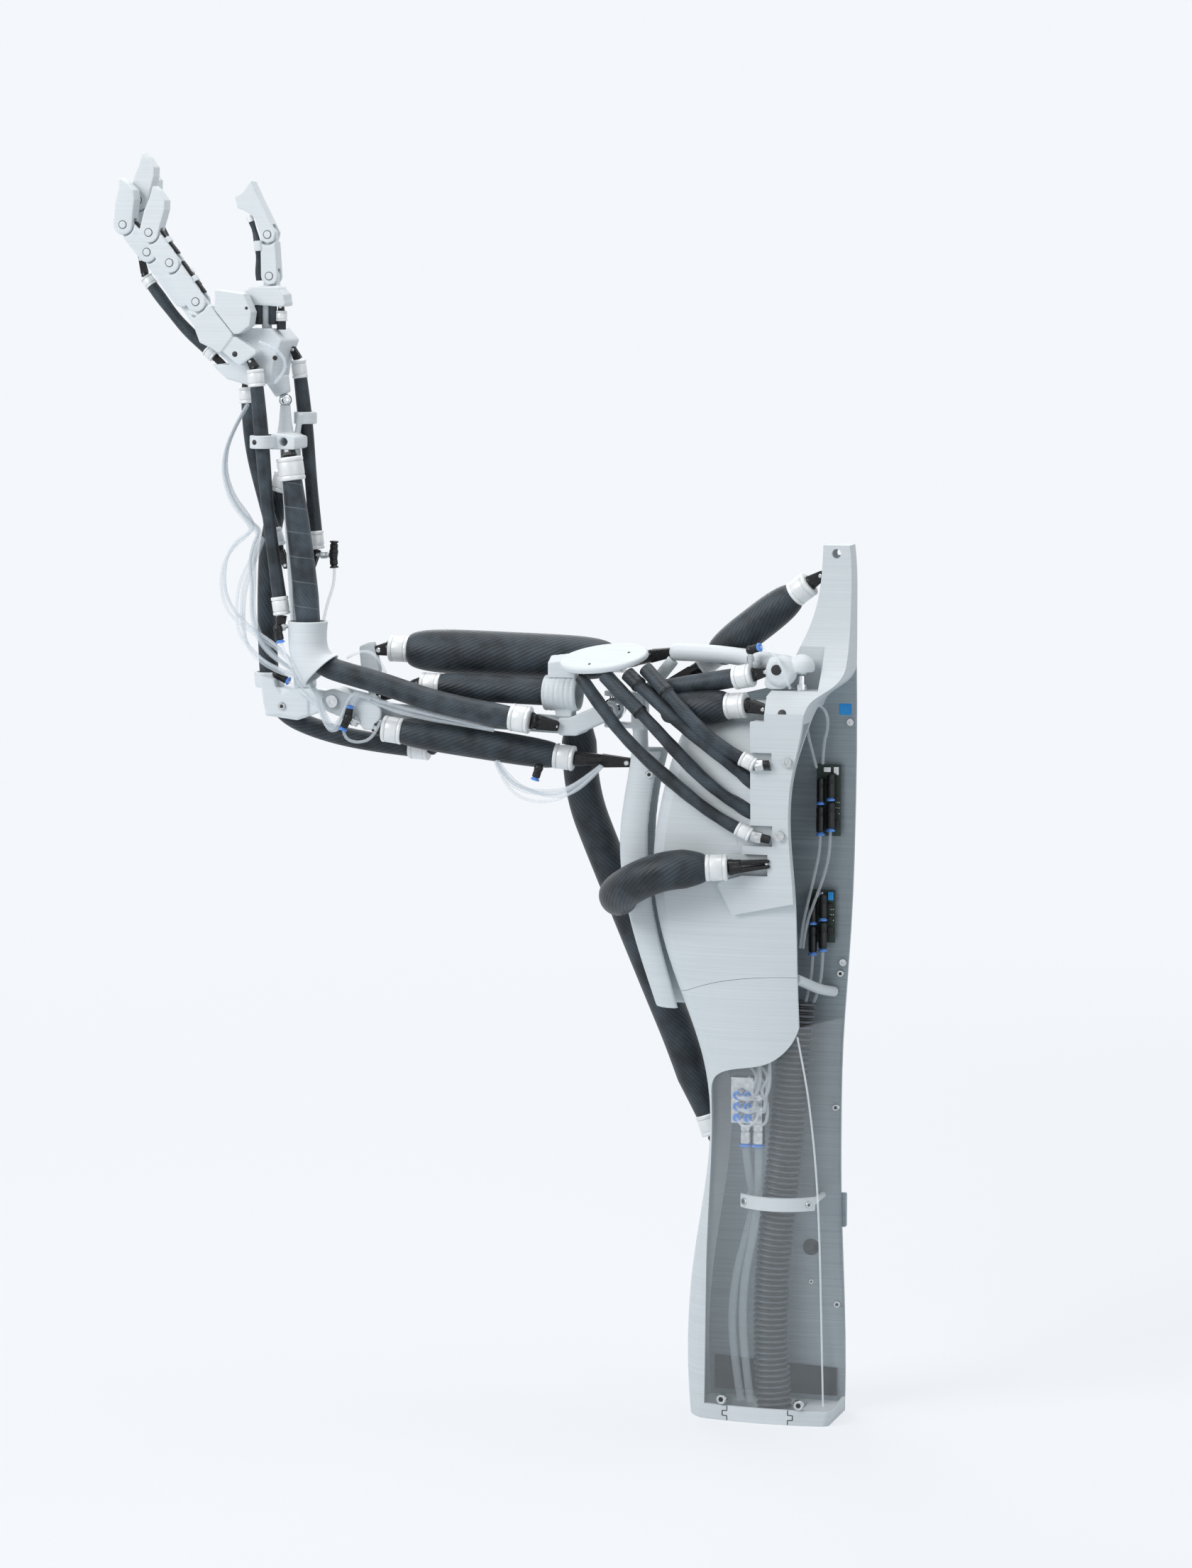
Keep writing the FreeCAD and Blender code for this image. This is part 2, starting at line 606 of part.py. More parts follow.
def scapula():
    """Shoulder blade with its neck, the upper and lower lug of the shoulder and the acromion arm."""
    wires = [scapula_section(*section) for section in SCAPULA_SECTIONS]
    blade = Part.makeLoft(wires, True, False, False, LOFT_DEGREE)
    x, y, z = SHOULDER
    lug_inner, lug_outer = SOCKET_R, SOCKET_R + LUG_THICK
    lugs = []
    for low, high in ((z + lug_inner, z + lug_outer), (z - lug_outer, z - lug_inner)):
        lug = fused([rod((x, y, low), (x, y, high), LUG_R),
                     block((x, y - LUG_R, low), (x + 34, y + LUG_R, high))])
        lugs.append(lug)
    web = block((x + 20, y - LUG_R, z - lug_outer), (x + 34, y + LUG_R, z + lug_outer))
    neck = rod((x + 27, y, z - lug_inner), (-130.0, 7.0, 640.0), 7.5)
    arm = rod((x + 30, y + 4, z + lug_inner), along(CLAVICLE_END, (x + 30, y + 4, z), CLAVICLE_R + CLEAR), 6.0)
    arm = arm.cut(Part.makeSphere(CLAVICLE_R + CLEAR, vec(CLAVICLE_END)))
    body = fused([blade, web, neck, arm] + lugs)
    for low, high in ((z + lug_inner - 1, z + lug_outer + 1), (z - lug_outer - 1, z - lug_inner + 1)):
        body = body.cut(rod((x, y, low), (x, y, high), CROSS_PIN_R + PIN_RUN))
    return body


def shoulder_ball():
    """Steel ball with two crossed pins: upright in the blade's lugs, level in the humerus fork."""
    x, y, z = SHOULDER
    reach = SOCKET_R + LUG_THICK
    return fused([Part.makeSphere(SOCKET_R - CLEAR - 1.0, V(x, y, z)),
                  rod((x, y, z - reach), (x, y, z + reach), CROSS_PIN_R),
                  rod((x, y - reach, z), (x, y + reach, z), CROSS_PIN_R)])


# Upper arm

def capsule(p, q, radius_p, radius_q, y0, y1):
    """Two round ends joined by their outer tangents, carried from y0 to y1."""
    (px, pz), (qx, qz) = p, q
    length = math.hypot(qx - px, qz - pz)
    lean = math.asin((radius_p - radius_q) / length)
    head = math.atan2(qz - pz, qx - px)
    points = []
    for side in (1, -1):
        angle = head + side * (math.pi / 2 - lean)
        points.append((V(px + radius_p * math.cos(angle), y0, pz + radius_p * math.sin(angle)),
                       V(qx + radius_q * math.cos(angle), y0, qz + radius_q * math.sin(angle))))
    (a, b), (d, c) = points
    far = V(qx + radius_q * math.cos(head), y0, qz + radius_q * math.sin(head))
    near = V(px - radius_p * math.cos(head), y0, pz - radius_p * math.sin(head))
    wire = Part.Wire([Part.makeLine(a, b), Part.Arc(b, far, c).toShape(), Part.makeLine(c, d),
                      Part.Arc(d, near, a).toShape()])
    return Part.Face(wire).extrude(V(0, y1 - y0, 0))


def humerus():
    """Upper arm bone: shoulder fork, block, shaft, elbow fork and the fins that hold muscles."""
    x, y, z = SHOULDER
    inner, outer = SOCKET_R, SOCKET_R + LUG_THICK
    shapes = []
    for y0, y1 in ((y - outer, y - inner), (y + inner, y + outer)):
        shapes.append(capsule((x, z), (x - 38, z - HUMERUS_DROP - LUG_R), LUG_R, LUG_R, y0, y1))
    shapes.append(rounded_slab([(x - 52, z - 26), (x - 30, z - 26), (x - 30, z - HUMERUS_DROP),
                                (x - 52, z - HUMERUS_DROP)], 4.0, y - outer, y + outer))
    start = V(x - 44, y + 2, z - HUMERUS_DROP - HUMERUS_R - CLEAR * 2)
    shapes.append(rod(start, HUMERUS_END, HUMERUS_R))
    ex, ey, ez = ELBOW
    hx, hy, hz = HUMERUS_END
    for side in (-1, 1):
        y0, y1 = sorted((side * FORK_OUTER, side * (FORK_OUTER - FORK_PLATE)))
        shapes.append(capsule((ex, ez), (hx, hz), ELBOW_R, ELBOW_R + 2, ey + y0, ey + y1))
    shapes.append(rounded_slab([(hx - 6, hz - 17), (hx + 8, hz - 17), (hx + 8, hz + 17), (hx - 6, hz + 17)],
                               4.0, ey - FORK_OUTER, ey + FORK_OUTER))
    shapes.append(rounded_slab([(hx - 14, hz + 40), (hx - 16, hz + 64), (hx - 2, hz + 70), (hx + 5, hz + 42),
                                (hx + 5, hz + 10), (hx - 4, hz + 10)], 3.0, 6.0, FORK_OUTER))
    body = fused(shapes)
    body = body.cut(rod((x, -FAR, z), (x, FAR, z), CROSS_PIN_R + PIN_RUN))
    return body.cut(rod((ex, -FAR, ez), (ex, FAR, ez), AXLE_R))


def deltoid_cap():
    """Oval shoulder cap, leaning forwards and out, on a foot that stands on the muscle sleeve."""
    oval = Part.Ellipse(V(0, 0, 0), CAP_LENGTH / 2, CAP_WIDTH / 2)
    disc = Part.Face(Part.Wire(oval.toShape())).extrude(V(0, 0, CAP_THICK))
    rim = [edge for edge in disc.Edges
           if abs(edge.BoundBox.ZMax - CAP_THICK) < 0.01 and edge.Length > CAP_WIDTH]
    disc = disc.makeFillet(CAP_THICK * 0.45, rim)
    turn = FreeCAD.Rotation(V(0, 1, 0), -CAP_TILT).multiply(FreeCAD.Rotation(V(1, 0, 0), CAP_LEAN))
    disc.Placement = FreeCAD.Placement(vec(CAP_CENTRE), turn)
    x, y, z = CAP_CENTRE
    foot = V(SLEEVE[1] - 8, SLEEVE_Y, SLEEVE_Z + SLEEVE_R)
    lug = block((foot.x - 22, foot.y - 9, foot.z - 6), (foot.x + 6, foot.y + 4, z + CAP_WIDTH / 4))
    lug = lug.cut(rod((SLEEVE[0], SLEEVE_Y, SLEEVE_Z), (SLEEVE[1] + FAR, SLEEVE_Y, SLEEVE_Z), SLEEVE_R))
    below = block((-FAR * 3, -FAR, -CAP_THICK * 6), (FAR * 3, FAR, 1.0))
    below.Placement = disc.Placement
    return fused([disc, lug.common(below)])


def muscle_sleeve():
    """Ribbed sleeve round the inner end of the second arm muscle, on the humerus block."""
    x0, x1 = SLEEVE
    a, b = (x0, SLEEVE_Y, SLEEVE_Z), (x1, SLEEVE_Y, SLEEVE_Z)
    step = (x1 - x0) / SLEEVE_RIBS
    profile = []
    for i in range(SLEEVE_RIBS):
        profile += [(i * step, SLEEVE_R), (i * step + step * 0.55, SLEEVE_R),
                    (i * step + step * 0.55, SLEEVE_R - 1.0), (i * step + step, SLEEVE_R - 1.0)]
    top = SHOULDER[2] - HUMERUS_DROP
    foot = block((x0 + 12, SLEEVE_Y - 8, top), (x1 - 6, SLEEVE_Y + 10, SLEEVE_Z))
    return fused([turned(a, b, profile), foot]).cut(rod(along(a, b, -1), along(b, a, -1), SLEEVE_BORE))


def elbow_axle():
    """Elbow bolt with a round head and a nut."""
    x, y, z = ELBOW
    shank = rod((x, y - FORK_OUTER, z), (x, y + FORK_OUTER, z), AXLE_R)
    head = screw_head((x, y - FORK_OUTER, z), (x, y - FORK_OUTER - 4, z), 6.2)
    nut = rod((x, y + FORK_OUTER, z), (x, y + FORK_OUTER + 5, z), 6.5)
    return fused([shank, head, nut])


# Forearm

def elbow_funnel():
    """Trumpet that leads the biceps round the elbow: round rim above, slanted mouth below."""
    def form(radius):
        rings = [((FUNNEL_X, FUNNEL_Y, FUNNEL_TOP), (0, 0, 1), radius),
                 ((FUNNEL_X, FUNNEL_Y, FUNNEL_TOP - 24), (0, 0, 1), radius - 0.6),
                 ((FUNNEL_X + 4, FUNNEL_Y, FUNNEL_TOP - 38), (-0.35, 0, 0.94), radius + 0.6),
                 (FUNNEL_MOUTH, (-0.7, 0, 0.72), radius + FUNNEL_FLARE)]
        return Part.makeLoft([Part.Wire(Part.makeCircle(r, vec(c), vec(n))) for c, n, r in rings], True)
    return form(FUNNEL_R).cut(form(FUNNEL_R - FUNNEL_WALL))


def elbow_yoke():
    """Elbow piece of the forearm: hub on the axle, web, and the ring that leads the triceps."""
    x, y, z = ELBOW
    half = FORK_OUTER - FORK_PLATE - CLEAR
    hub = rod((x, y - half, z), (x, y + half, z), ELBOW_R)
    web = rounded_slab([(x - 74, z - 17), (x - 40, z - 21), (x - 8, z - 9), (x - 4, z + 9), (x - 24, z + 10.7),
                        (x - 46, z + 10.7), (x - 72, z + 12)], 3.0, y - half + 2, y + half - 2)
    cup_x, cup_y = TRICEPS_CUP
    cup = turned((cup_x, cup_y, z + 8), (cup_x, cup_y, z + 24),
                 [(0, CUP_R - 1), (5, CUP_R), (12, CUP_R), (16, CUP_R + 1)])
    arm = rod((cup_x + 20, 4, z + 8), (cup_x + 8, cup_y - 7, z + 15), 5.0)
    body = fused([hub, web, cup, arm])
    body = body.cut(rod((cup_x, cup_y, z - 60), (cup_x, cup_y, z + 60), CUP_R - WALL))
    return body.cut(rod((x, -FAR, z), (x, FAR, z), AXLE_R + PIN_RUN))


def forearm_bone():
    """Tapered forearm bone that stands on the elbow piece and carries the wrist bracket."""
    x, y, z = ELBOW
    foot = z + 10.7
    bone = rounded_slab([(x - 45, foot), (x - 25, foot), (x - 29, foot + 70), (x - 36, foot + 130),
                         (x - 40, BRACKET_Z - BRACKET_HIGH / 2), (x - 58, BRACKET_Z - BRACKET_HIGH / 2),
                         (x - 52, foot + 130), (x - 48, foot + 60)], 2.0, -4.0, 9.0)
    slot = rounded_slab([(x - 43, foot + 20), (x - 35, foot + 20), (x - 39, foot + 100), (x - 45, foot + 100)],
                        2.0, -20, 20)
    return bone.cut(slot)


def wrist_bracket():
    """Bracket at the forearm's end: guide rings for two muscles and the neck of the wrist ball."""
    x, y, z = WRIST
    low, high = BRACKET_Z - BRACKET_HIGH / 2, BRACKET_Z + BRACKET_HIGH / 2
    body = rounded_slab([(x - 12, low), (x + 20, low), (x + 20, high - 3), (x + 10, high), (x - 12, high)], 2.5,
                        -30.0, 9.0)
    neck = turned((x, y, high - 1), (x, y, z), [(0, 8.4), (12, 6.5), (z - high - WRIST_BALL_R, 5.2),
                                                (z - high + 1 - WRIST_BALL_R + 2, 5.2)])
    cup = Part.makeSphere(WRIST_BALL_R + WRIST_PLAY, V(x, y, z))
    f1, f3 = vec(FRONT_GUIDE), vec(SIDE_GUIDE)
    loop = Part.makeCylinder(GUIDE_R + WALL, BRACKET_HIGH - 2, V(f1.x, f1.y, low + 1), V(0, 0, 1))
    clip = Part.makeCylinder(GUIDE_R + 2.4, 12.0, V(f3.x, f3.y, f3.z - 6), V(0, 0, 1))
    arm = rod((x + 10, 6, high - 3), (f3.x - 1.5, f3.y - GUIDE_R - 1.6, f3.z + 4), 3.0)
    shape = fused([body, neck, loop, clip, arm]).cut(cup)
    for guide in (f1, f3):
        shape = shape.cut(Part.makeCylinder(GUIDE_R, 80.0, V(guide.x, guide.y, guide.z - 40), V(0, 0, 1)))
    return shape.cut(rod((x + 8, -FAR, BRACKET_Z), (x + 8, FAR, BRACKET_Z), 4.2))


def wrist_ball():
    """Steel ball of the wrist."""
    return Part.makeSphere(WRIST_BALL_R, vec(WRIST))


# Hand

def finger_y(index):
    return (index - 1.5) * FINGER_PITCH


def link(p, q, y, wide, base_r, tip_r):
    """Finger link: cheeks with a pin at p, a tongue with its hole at q."""
    low, high = y - wide / 2, y + wide / 2
    body = capsule(p, q, base_r, tip_r, low, high)
    for a, b in ((low - 1, y - TONGUE_WIDE / 2), (y + TONGUE_WIDE / 2, high + 1)):
        body = body.cut(rod((q[0], a, q[1]), (q[0], b, q[1]), base_r + SWING))
    return clevis(body, p, y, wide, base_r).cut(
        rod((q[0], low - 1, q[1]), (q[0], high + 1, q[1]), PIN_R + PIN_RUN))


def clevis(body, p, y, wide, base_r):
    """Cuts the slot for the inner link's tongue and puts the pin through both cheeks."""
    half = TONGUE_WIDE / 2 + CLEAR
    slot = rod((p[0], y - half, p[1]), (p[0], y + half, p[1]), base_r + SWING)
    pin = rod((p[0], y - wide / 2, p[1]), (p[0], y + wide / 2, p[1]), PIN_R)
    return fused([body.cut(slot), pin])


def placed_outline(points, origin, lean):
    """Outline given along and across a finger, turned to its lean and moved to its joint."""
    c, s = math.cos(lean), math.sin(lean)
    return [(origin[0] + n * c + t * s, origin[1] - n * s + t * c) for n, t in points]


def fingertip(p, tip, y):
    """Finger end with its nail edge and pad, on a clevis round the last joint."""
    lean = math.atan2(tip[0] - p[0], tip[1] - p[1])
    length = math.hypot(tip[0] - p[0], tip[1] - p[1])
    side = [(-LINK_R, 0), (-6.5, length * 0.48), (-2.5, length * 0.72), (0, length), (6.0, length * 0.9),
            (14.0, length * 0.72), (14.5, length * 0.52), (11.5, length * 0.2), (LINK_R, 0)]
    base = [(LINK_R, 0), (0, -LINK_R), (-LINK_R, 0)]
    side, base = placed_outline(side, p, lean), placed_outline(base, p, lean)
    y0, y1 = y - FINGER_WIDE / 2, y + FINGER_WIDE / 2
    points = [V(a, y0, b) for a, b in side]
    edges = [Part.makeLine(u, v) for u, v in zip(points, points[1:])]
    edges.append(Part.Arc(*[V(a, y0, b) for a, b in base]).toShape())
    body = Part.Face(Part.Wire(edges)).extrude(V(0, y1 - y0, 0))
    return clevis(body, p, y, FINGER_WIDE, LINK_R)


def thumb_tip(p, y):
    """Broad thumb end with the pad that meets the fingers."""
    outline = [(-7.5, 0), (-13.0, 16.0), (-21.0, 22.0), (-31.0, 26.0), (-33.5, 37.0), (-25.0, 42.0),
               (-17.0, 53.0), (-9.0, 36.0), (8.5, 2.0)]
    side = [(p[0] + n, p[1] + t) for n, t in outline]
    body = straight_slab(side + [(p[0] + 6.5, p[1] - 6.0), (p[0], p[1] - THUMB_R), (p[0] - 6.5, p[1] - 6.0)],
                         y - FINGER_WIDE / 2, y + FINGER_WIDE / 2)
    return clevis(body, p, y, FINGER_WIDE, THUMB_R)


def thumb_base():
    """Saddle of the thumb on its round post, with the tongue of the first thumb joint."""
    px, pz = THUMB_POST
    jx, jz = THUMB_JOINTS[0]
    y = THUMB_Y
    saddle = rounded_slab([(px - 21, jz - 14), (px - 8, jz - THUMB_R - SWING), (px + 16, jz - THUMB_R - SWING),
                           (px + 24, jz - 27), (px + 20, jz - 30), (px - 14, jz - 28)], 2.0, y - 11, y + 11)
    half = TONGUE_WIDE / 2
    tongue = capsule((jx, jz), (jx, jz - 18), THUMB_R - 1, THUMB_R - 1, y - half, y + half)
    post = rod((px, y, pz - 24), (px, y, jz - 26), POST_R)
    body = fused([saddle, tongue, post])
    return body.cut(rod((jx, -FAR, jz), (jx, FAR, jz), PIN_R + PIN_RUN))


def outside_palm():
    """All that lies beyond the palm's slanting outer edge, and the trough for the muscle along it."""
    far = PALM_EDGE[0][0] - FAR
    outline = [V(x, PALM_FRONT, z) for x, z in PALM_EDGE + [(far, PALM_EDGE[-1][1]), (far, PALM_EDGE[0][1])]]
    deep = PALM_BACK - PALM_FRONT
    wedge = Part.Face(Part.makePolygon(outline + outline[:1])).extrude(V(-EDGE_SLANT * deep, deep, 0))
    end = along(HAND_BACK[-2], HAND_BACK[-1], 40.0)
    return wedge.fuse(tube(HAND_BACK[:-1] + [end], HAND_FERRULE_R + 0.8))


def palm():
    """Palm frame: knuckle tongues, thumb socket, anchors of the wrist muscles and the wrist cup."""
    wx, wy, wz = WRIST
    knuckles = rounded_slab([(-603.0, 1074.0), (-592.0, 1080.0), (-572.0, 1072.0), (-557.0, 1086.0),
                             (-532.0, 1056.0), (-546.0, 1038.0), (-572.0, 1036.0)], 3.0, PALM_FRONT, PALM_BACK)
    heel = rounded_slab([(-566.0, 1060.0), (-545.0, 1076.0), (-530.0, 1062.0), (-499.0, 1062.0),
                         (-488.0, 1050.0), (-497.0, 1026.0), (-500.0, 1008.0), (-524.0, 1006.0),
                         (-546.0, 1012.0), (-570.0, 1034.0)], 3.0, HEEL_FRONT, HEEL_BACK)
    stem = turned((wx - 8, wy, 1012.0), (wx, wy, wz), [(0, 12.0), (10, 9.5), (16.5, 8.0)])
    anchor = rounded_slab([(-545.0, 1040.0), (-531.0, 1055.0), (-507.0, 1039.0), (-527.0, 1025.0)], 2.5,
                          ANCHOR_FRONT, HEEL_FRONT + 2)
    body = fused([knuckles, heel]).cut(outside_palm())
    half, side = TONGUE_WIDE / 2, FINGER_WIDE / 2 + CLEAR
    tongues = []
    for i, joints in enumerate(FINGERS.values()):
        y = finger_y(i)
        kx, kz = joints[0]
        body = body.cut(rod((kx, y - side, kz), (kx, y + side, kz), LINK_R + SWING))
        tongues.append(capsule((kx, kz), (kx + 16, kz - 22), LINK_TIP_R, LINK_TIP_R, y - half, y + half))
    shape = fused([body, stem, anchor] + tongues)
    for i, joints in enumerate(FINGERS.values()):
        kx, kz = joints[0]
        y = finger_y(i)
        shape = shape.cut(rod((kx, y - side, kz), (kx, y + side, kz), PIN_R + PIN_RUN))
    px, pz = THUMB_POST
    shape = shape.cut(rod((px, THUMB_Y, pz - 24 - CLEAR), (px, THUMB_Y, pz + 30), POST_R + PIN_RUN))
    return shape.cut(Part.makeSphere(WRIST_BALL_R + WRIST_PLAY, V(wx, wy, wz)))


def palm_cover():
    """Bulged cover on the little finger side of the palm."""
    outline = [(-551.0, 1100.0), (-521.0, 1096.0), (-513.0, 1078.0), (-515.0, 1065.0), (-526.0, 1057.0),
               (-532.0 + SEAM, 1056.0 + SEAM), (-551.0, 1079.8)]
    return rounded_slab(outline, 1.5, PALM_FRONT, HEEL_FRONT - SEAM)


# Air muscles and their ends

PECTORALS = [
    [(-182.5, -25.5, 726.5), (-160, -34, 700), (-130, -42, 666), (-75, -52, 623), (-38, -53, 597),
     (-18, -52, 587)],
    [(-156.5, -28.5, 729), (-140, -35, 714), (-116, -42, 694), (-66, -52, 646), (-38, -51.5, 622),
     (-16, -45, 607), (4, -36, 595)],
    [(-134, -29.5, 731.3), (-112, -38, 714), (-82, -47, 690), (-44, -51, 663), (-28, -49, 650),
     (-12, -43.5, 636), (4, -36, 622)],
    [(-116, -28.5, 736.5), (-106, -34, 728), (-88, -43, 713), (-58, -51, 683), (-32, -52, 664),
     (-14, -52, 655)],
]
PECTORAL_R = 6.4
PORT_PLAY = 0.6        # round a muscle that goes into the chest
PECTORAL_NUTS = [(14, -52, 577), (13, -52, 650)]
LATISSIMUS = [(-203, 40, 676), (-204, 44, 640), (-198, 46, 595), (-182, 46, 555), (-155, 46, 485),
              (-128, 46, 416), (-97, 46, 346), (-72, 46, 288)]
LATISSIMUS_R = 15.0
LATISSIMUS_FORK = (-42, 40.3, 232)
TRAPEZIUS = ((21, 18, 808), (-60, 27, 746))
TRAPEZIUS_FORK = (-106, 18, 718)
HORN_FORK = (46.8, 17.0, 826.6)
SUBCLAVIAN = ((-27, -25, 730), (-118, -12, 712.5))
CLAVICLE_FORK = (2.0, -25.0, 736.0)
CHEST_FRONT = ((-34, -28, 702.5), (-100, -20, 696.5))
CHEST_FORK = (4.0, -35.0, 701.0)
SERRATUS = [(-46, -62, 549), (-74, -67, 548), (-100, -66, 541), (-122, -57, 530), (-137, -42, 520),
            (-144, -29.6, 514), (-145.7, -17.9, 511.5)]
SERRATUS_R = 19.0
SERRATUS_TAPER = 12.0  # length over which it swells from its sleeve
SERRATUS_FORK = (9.5, -47.6, 553.0)
DELTOID = ((-372, 18, 745), (-165, 31, 739))
DELTOID_FORK = (-99.5, 20.4, 749.0)
BRACHIALIS = ((-333, -2, 712), (-200, -2, 708))
UNDERARM = ((-370, -11, 666.5), (-215, -1, 646))
UNDERARM_FORK = (-143.5, 4.0, 641.0)
BICEPS = [(-252, -27, 685.5), (-288, -27, 690.5), (-336, -27, 700), (-385, -26.8, 715), (-420, -26.7, 723.5),
          (-441, -26.7, 729.3), (-452, -26.7, 737.3), (-458.5, -26.7, 751), (-461.5, -26.7, 775),
          (-464.5, -26.5, 810), (-470, -25.5, 855), (-478, -24, 914)]
BICEPS_R = 11.0
TRICEPS = [(-508, 28, 900), (-522, 30, 852), (-524, 28, 795), (-522, 24, 742), (-519.5, 24, 703),
           (-506, 24, 677), (-472, 25, 662), (-420, 25, 651), (-372, 25, 647)]
TRICEPS_R = 9.5
WRIST_FRONT = [(-511, -33, 1006), (-508, -33, 975), (-505.5, -33, 944), (-500, -33, 874), (-489, -33, 798)]
WRIST_BACK = [(-535, 8, 988), (-532.5, 8, 950), (-523, 7, 905), (-509, 6, 862)]
WRIST_SIDE = [(-483, 17, 1013), (-478.5, 17, 975), (-474, 17, 930), (-468.5, 17, 860)]
WRIST_MUSCLE_R = 6.8
HAND_BACK = [(-640, 20, 1103), (-622.5, 20, 1080), (-602, 20, 1057), (-581.6, 20, 1039)]
THENAR = ((-493, THUMB_Y, 1060.5), (-493, THUMB_Y, 1069.8))
HAND_MUSCLE_R = 5.2
HAND_FERRULE_R = 6.6


def serratus():
    """Short fat muscle from the panel round to the shoulder blade, tapered into its sleeve."""
    end, start = SERRATUS[0], along(SERRATUS[0], SERRATUS[1], SERRATUS_TAPER)
    taper = turned(end, start, [(0, SERRATUS_R * 0.58), (SERRATUS_TAPER * 0.4, SERRATUS_R * 0.84),
                                (SERRATUS_TAPER, SERRATUS_R)], smooth=True)
    return fused([taper, tube([start] + SERRATUS[1:], SERRATUS_R, "serratus")])


def muscle_nodes():
    """Every air muscle; those that cross one joint share a node."""
    export("pectoral_muscles", [tube(route, PECTORAL_R, "pectoral") for route in PECTORALS])
    export("latissimus_muscle", tube(LATISSIMUS, LATISSIMUS_R, "latissimus"))
    export("girdle_muscles", [muscle_belly(*TRAPEZIUS, 10.5, 17.0), muscle_belly(*CHEST_FRONT, 10.5, 13.0),
                              muscle_belly(*SUBCLAVIAN, 9.0, 9.6, CLEAR),
                              serratus()])
    export("upper_arm_muscles", [muscle_belly(*DELTOID, 12.0, 22.3), muscle_belly(*BRACHIALIS, 11.0, 13.6),
                                 muscle_belly(*UNDERARM, 11.0, 15.0)])
    export("elbow_muscles", [tube(BICEPS, BICEPS_R, "biceps"), tube(TRICEPS, TRICEPS_R, "triceps")])
    export("wrist_muscles", [tube(route, WRIST_MUSCLE_R, "wrist muscle")
                             for route in (WRIST_FRONT, WRIST_BACK, WRIST_SIDE)])
    export("hand_muscles", [tube(HAND_BACK, HAND_MUSCLE_R, "hand muscle"),
                            rod(*THENAR, 4.6)])


def end_pair(inner, end, target, radius, length, neck):
    """Ferrule in line with a muscle's end, and the black fork from it to what carries it."""
    line = (vec(end) - vec(inner)).normalize()
    collar = radius * 0.62
    start = vec(end) + line * CLEAR
    joint = start + line * length
    tilt = line.getAngle(vec(target) - joint)
    root = joint + line * (collar * math.sin(tilt) + CLEAR * 2)
    return ferrule(start, joint, radius, length), fork(root, target, collar, neck)


def muscle_end_nodes():
    """Ferrules and forks, grouped by the body that carries them."""
    ends = {
        "torso": [end_pair(TRAPEZIUS[1], TRAPEZIUS[0], HORN_FORK, 12.6, 19, 4.2),
                  end_pair(CHEST_FRONT[1], CHEST_FRONT[0], CHEST_FORK, 12.6, 19, 4.2),
                  end_pair(SERRATUS[1], SERRATUS[0], SERRATUS_FORK, 12.8, 20, 4.0),
                  end_pair(LATISSIMUS[-2], LATISSIMUS[-1], LATISSIMUS_FORK, 12.6, 20, 3.6),
                  end_pair(PECTORALS[0][-2], PECTORALS[0][-1], PECTORAL_NUTS[0], 7.2, 14, 5.8),
                  end_pair(PECTORALS[3][-2], PECTORALS[3][-1], PECTORAL_NUTS[1], 7.2, 14, 5.8)],
        "blade": [end_pair(SUBCLAVIAN[1], SUBCLAVIAN[0], CLAVICLE_FORK, 11.5, 18, 4.2),
                  end_pair(UNDERARM[0], UNDERARM[1], UNDERARM_FORK, 12.4, 19, 5.0),
                  end_pair(DELTOID[0], DELTOID[1], DELTOID_FORK, 12.6, 12, 4.0),
                  end_pair(TRAPEZIUS[0], TRAPEZIUS[1], TRAPEZIUS_FORK, 11.5, 18, 4.0)],
        "upper_arm": [end_pair(DELTOID[1], DELTOID[0], (-402, 14, 744), 12.9, 19, 5.0),
                      end_pair(BRACHIALIS[1], BRACHIALIS[0], (-395.5, 0, 699), 12.0, 19, 4.0),
                      end_pair(BICEPS[1], BICEPS[0], (-211, -14.5, 677), 13.4, 19, 3.4),
                      end_pair(UNDERARM[1], UNDERARM[0], (-395.5, -12, 670), 13.0, 19, 5.0),
                      end_pair(TRICEPS[-2], TRICEPS[-1], (-321, 11, 670.5), 11.4, 19, 3.6)],
        "forearm": [end_pair(BICEPS[-2], BICEPS[-1], (-482.5, -23, 942), 13.2, 22, 5.0),
                    end_pair(WRIST_FRONT[-2], WRIST_FRONT[-1], (-488, -34, 768), 8.4, 17, 3.6),
                    end_pair(WRIST_BACK[-2], WRIST_BACK[-1], (-494.6, 4, 827), 8.4, 17, 3.6),
                    end_pair(WRIST_SIDE[-2], WRIST_SIDE[-1], (-471, 12.5, 824), 8.0, 17, 3.2),
                    end_pair(TRICEPS[1], TRICEPS[0], (-496, 13, 932), 11.0, 18, 3.6)],
        "hand": [end_pair(WRIST_FRONT[1], WRIST_FRONT[0], (-517, -33, 1030), 8.4, 16, 3.2),
                 end_pair(WRIST_BACK[1], WRIST_BACK[0], (-536.6, 8, 1008), 8.4, 15, 3.2),
                 end_pair(WRIST_SIDE[1], WRIST_SIDE[0], (-490, 17, 1040), 7.6, 17, 3.2),
                 end_pair(HAND_BACK[1], HAND_BACK[0], (-650, 19, 1129), HAND_FERRULE_R, 10, 4.0),
                 end_pair(HAND_BACK[2], HAND_BACK[3], (-560, 20, 1020), HAND_FERRULE_R, 10, 4.0),
                 end_pair(THENAR[0], THENAR[1], (-493, THUMB_Y, 1082.5), 6.0, 9, 3.0)],
    }
    for body, pairs in ends.items():
        export(body + "_ferrules", [pair[0] for pair in pairs])
        export(body + "_forks", [pair[1] for pair in pairs])


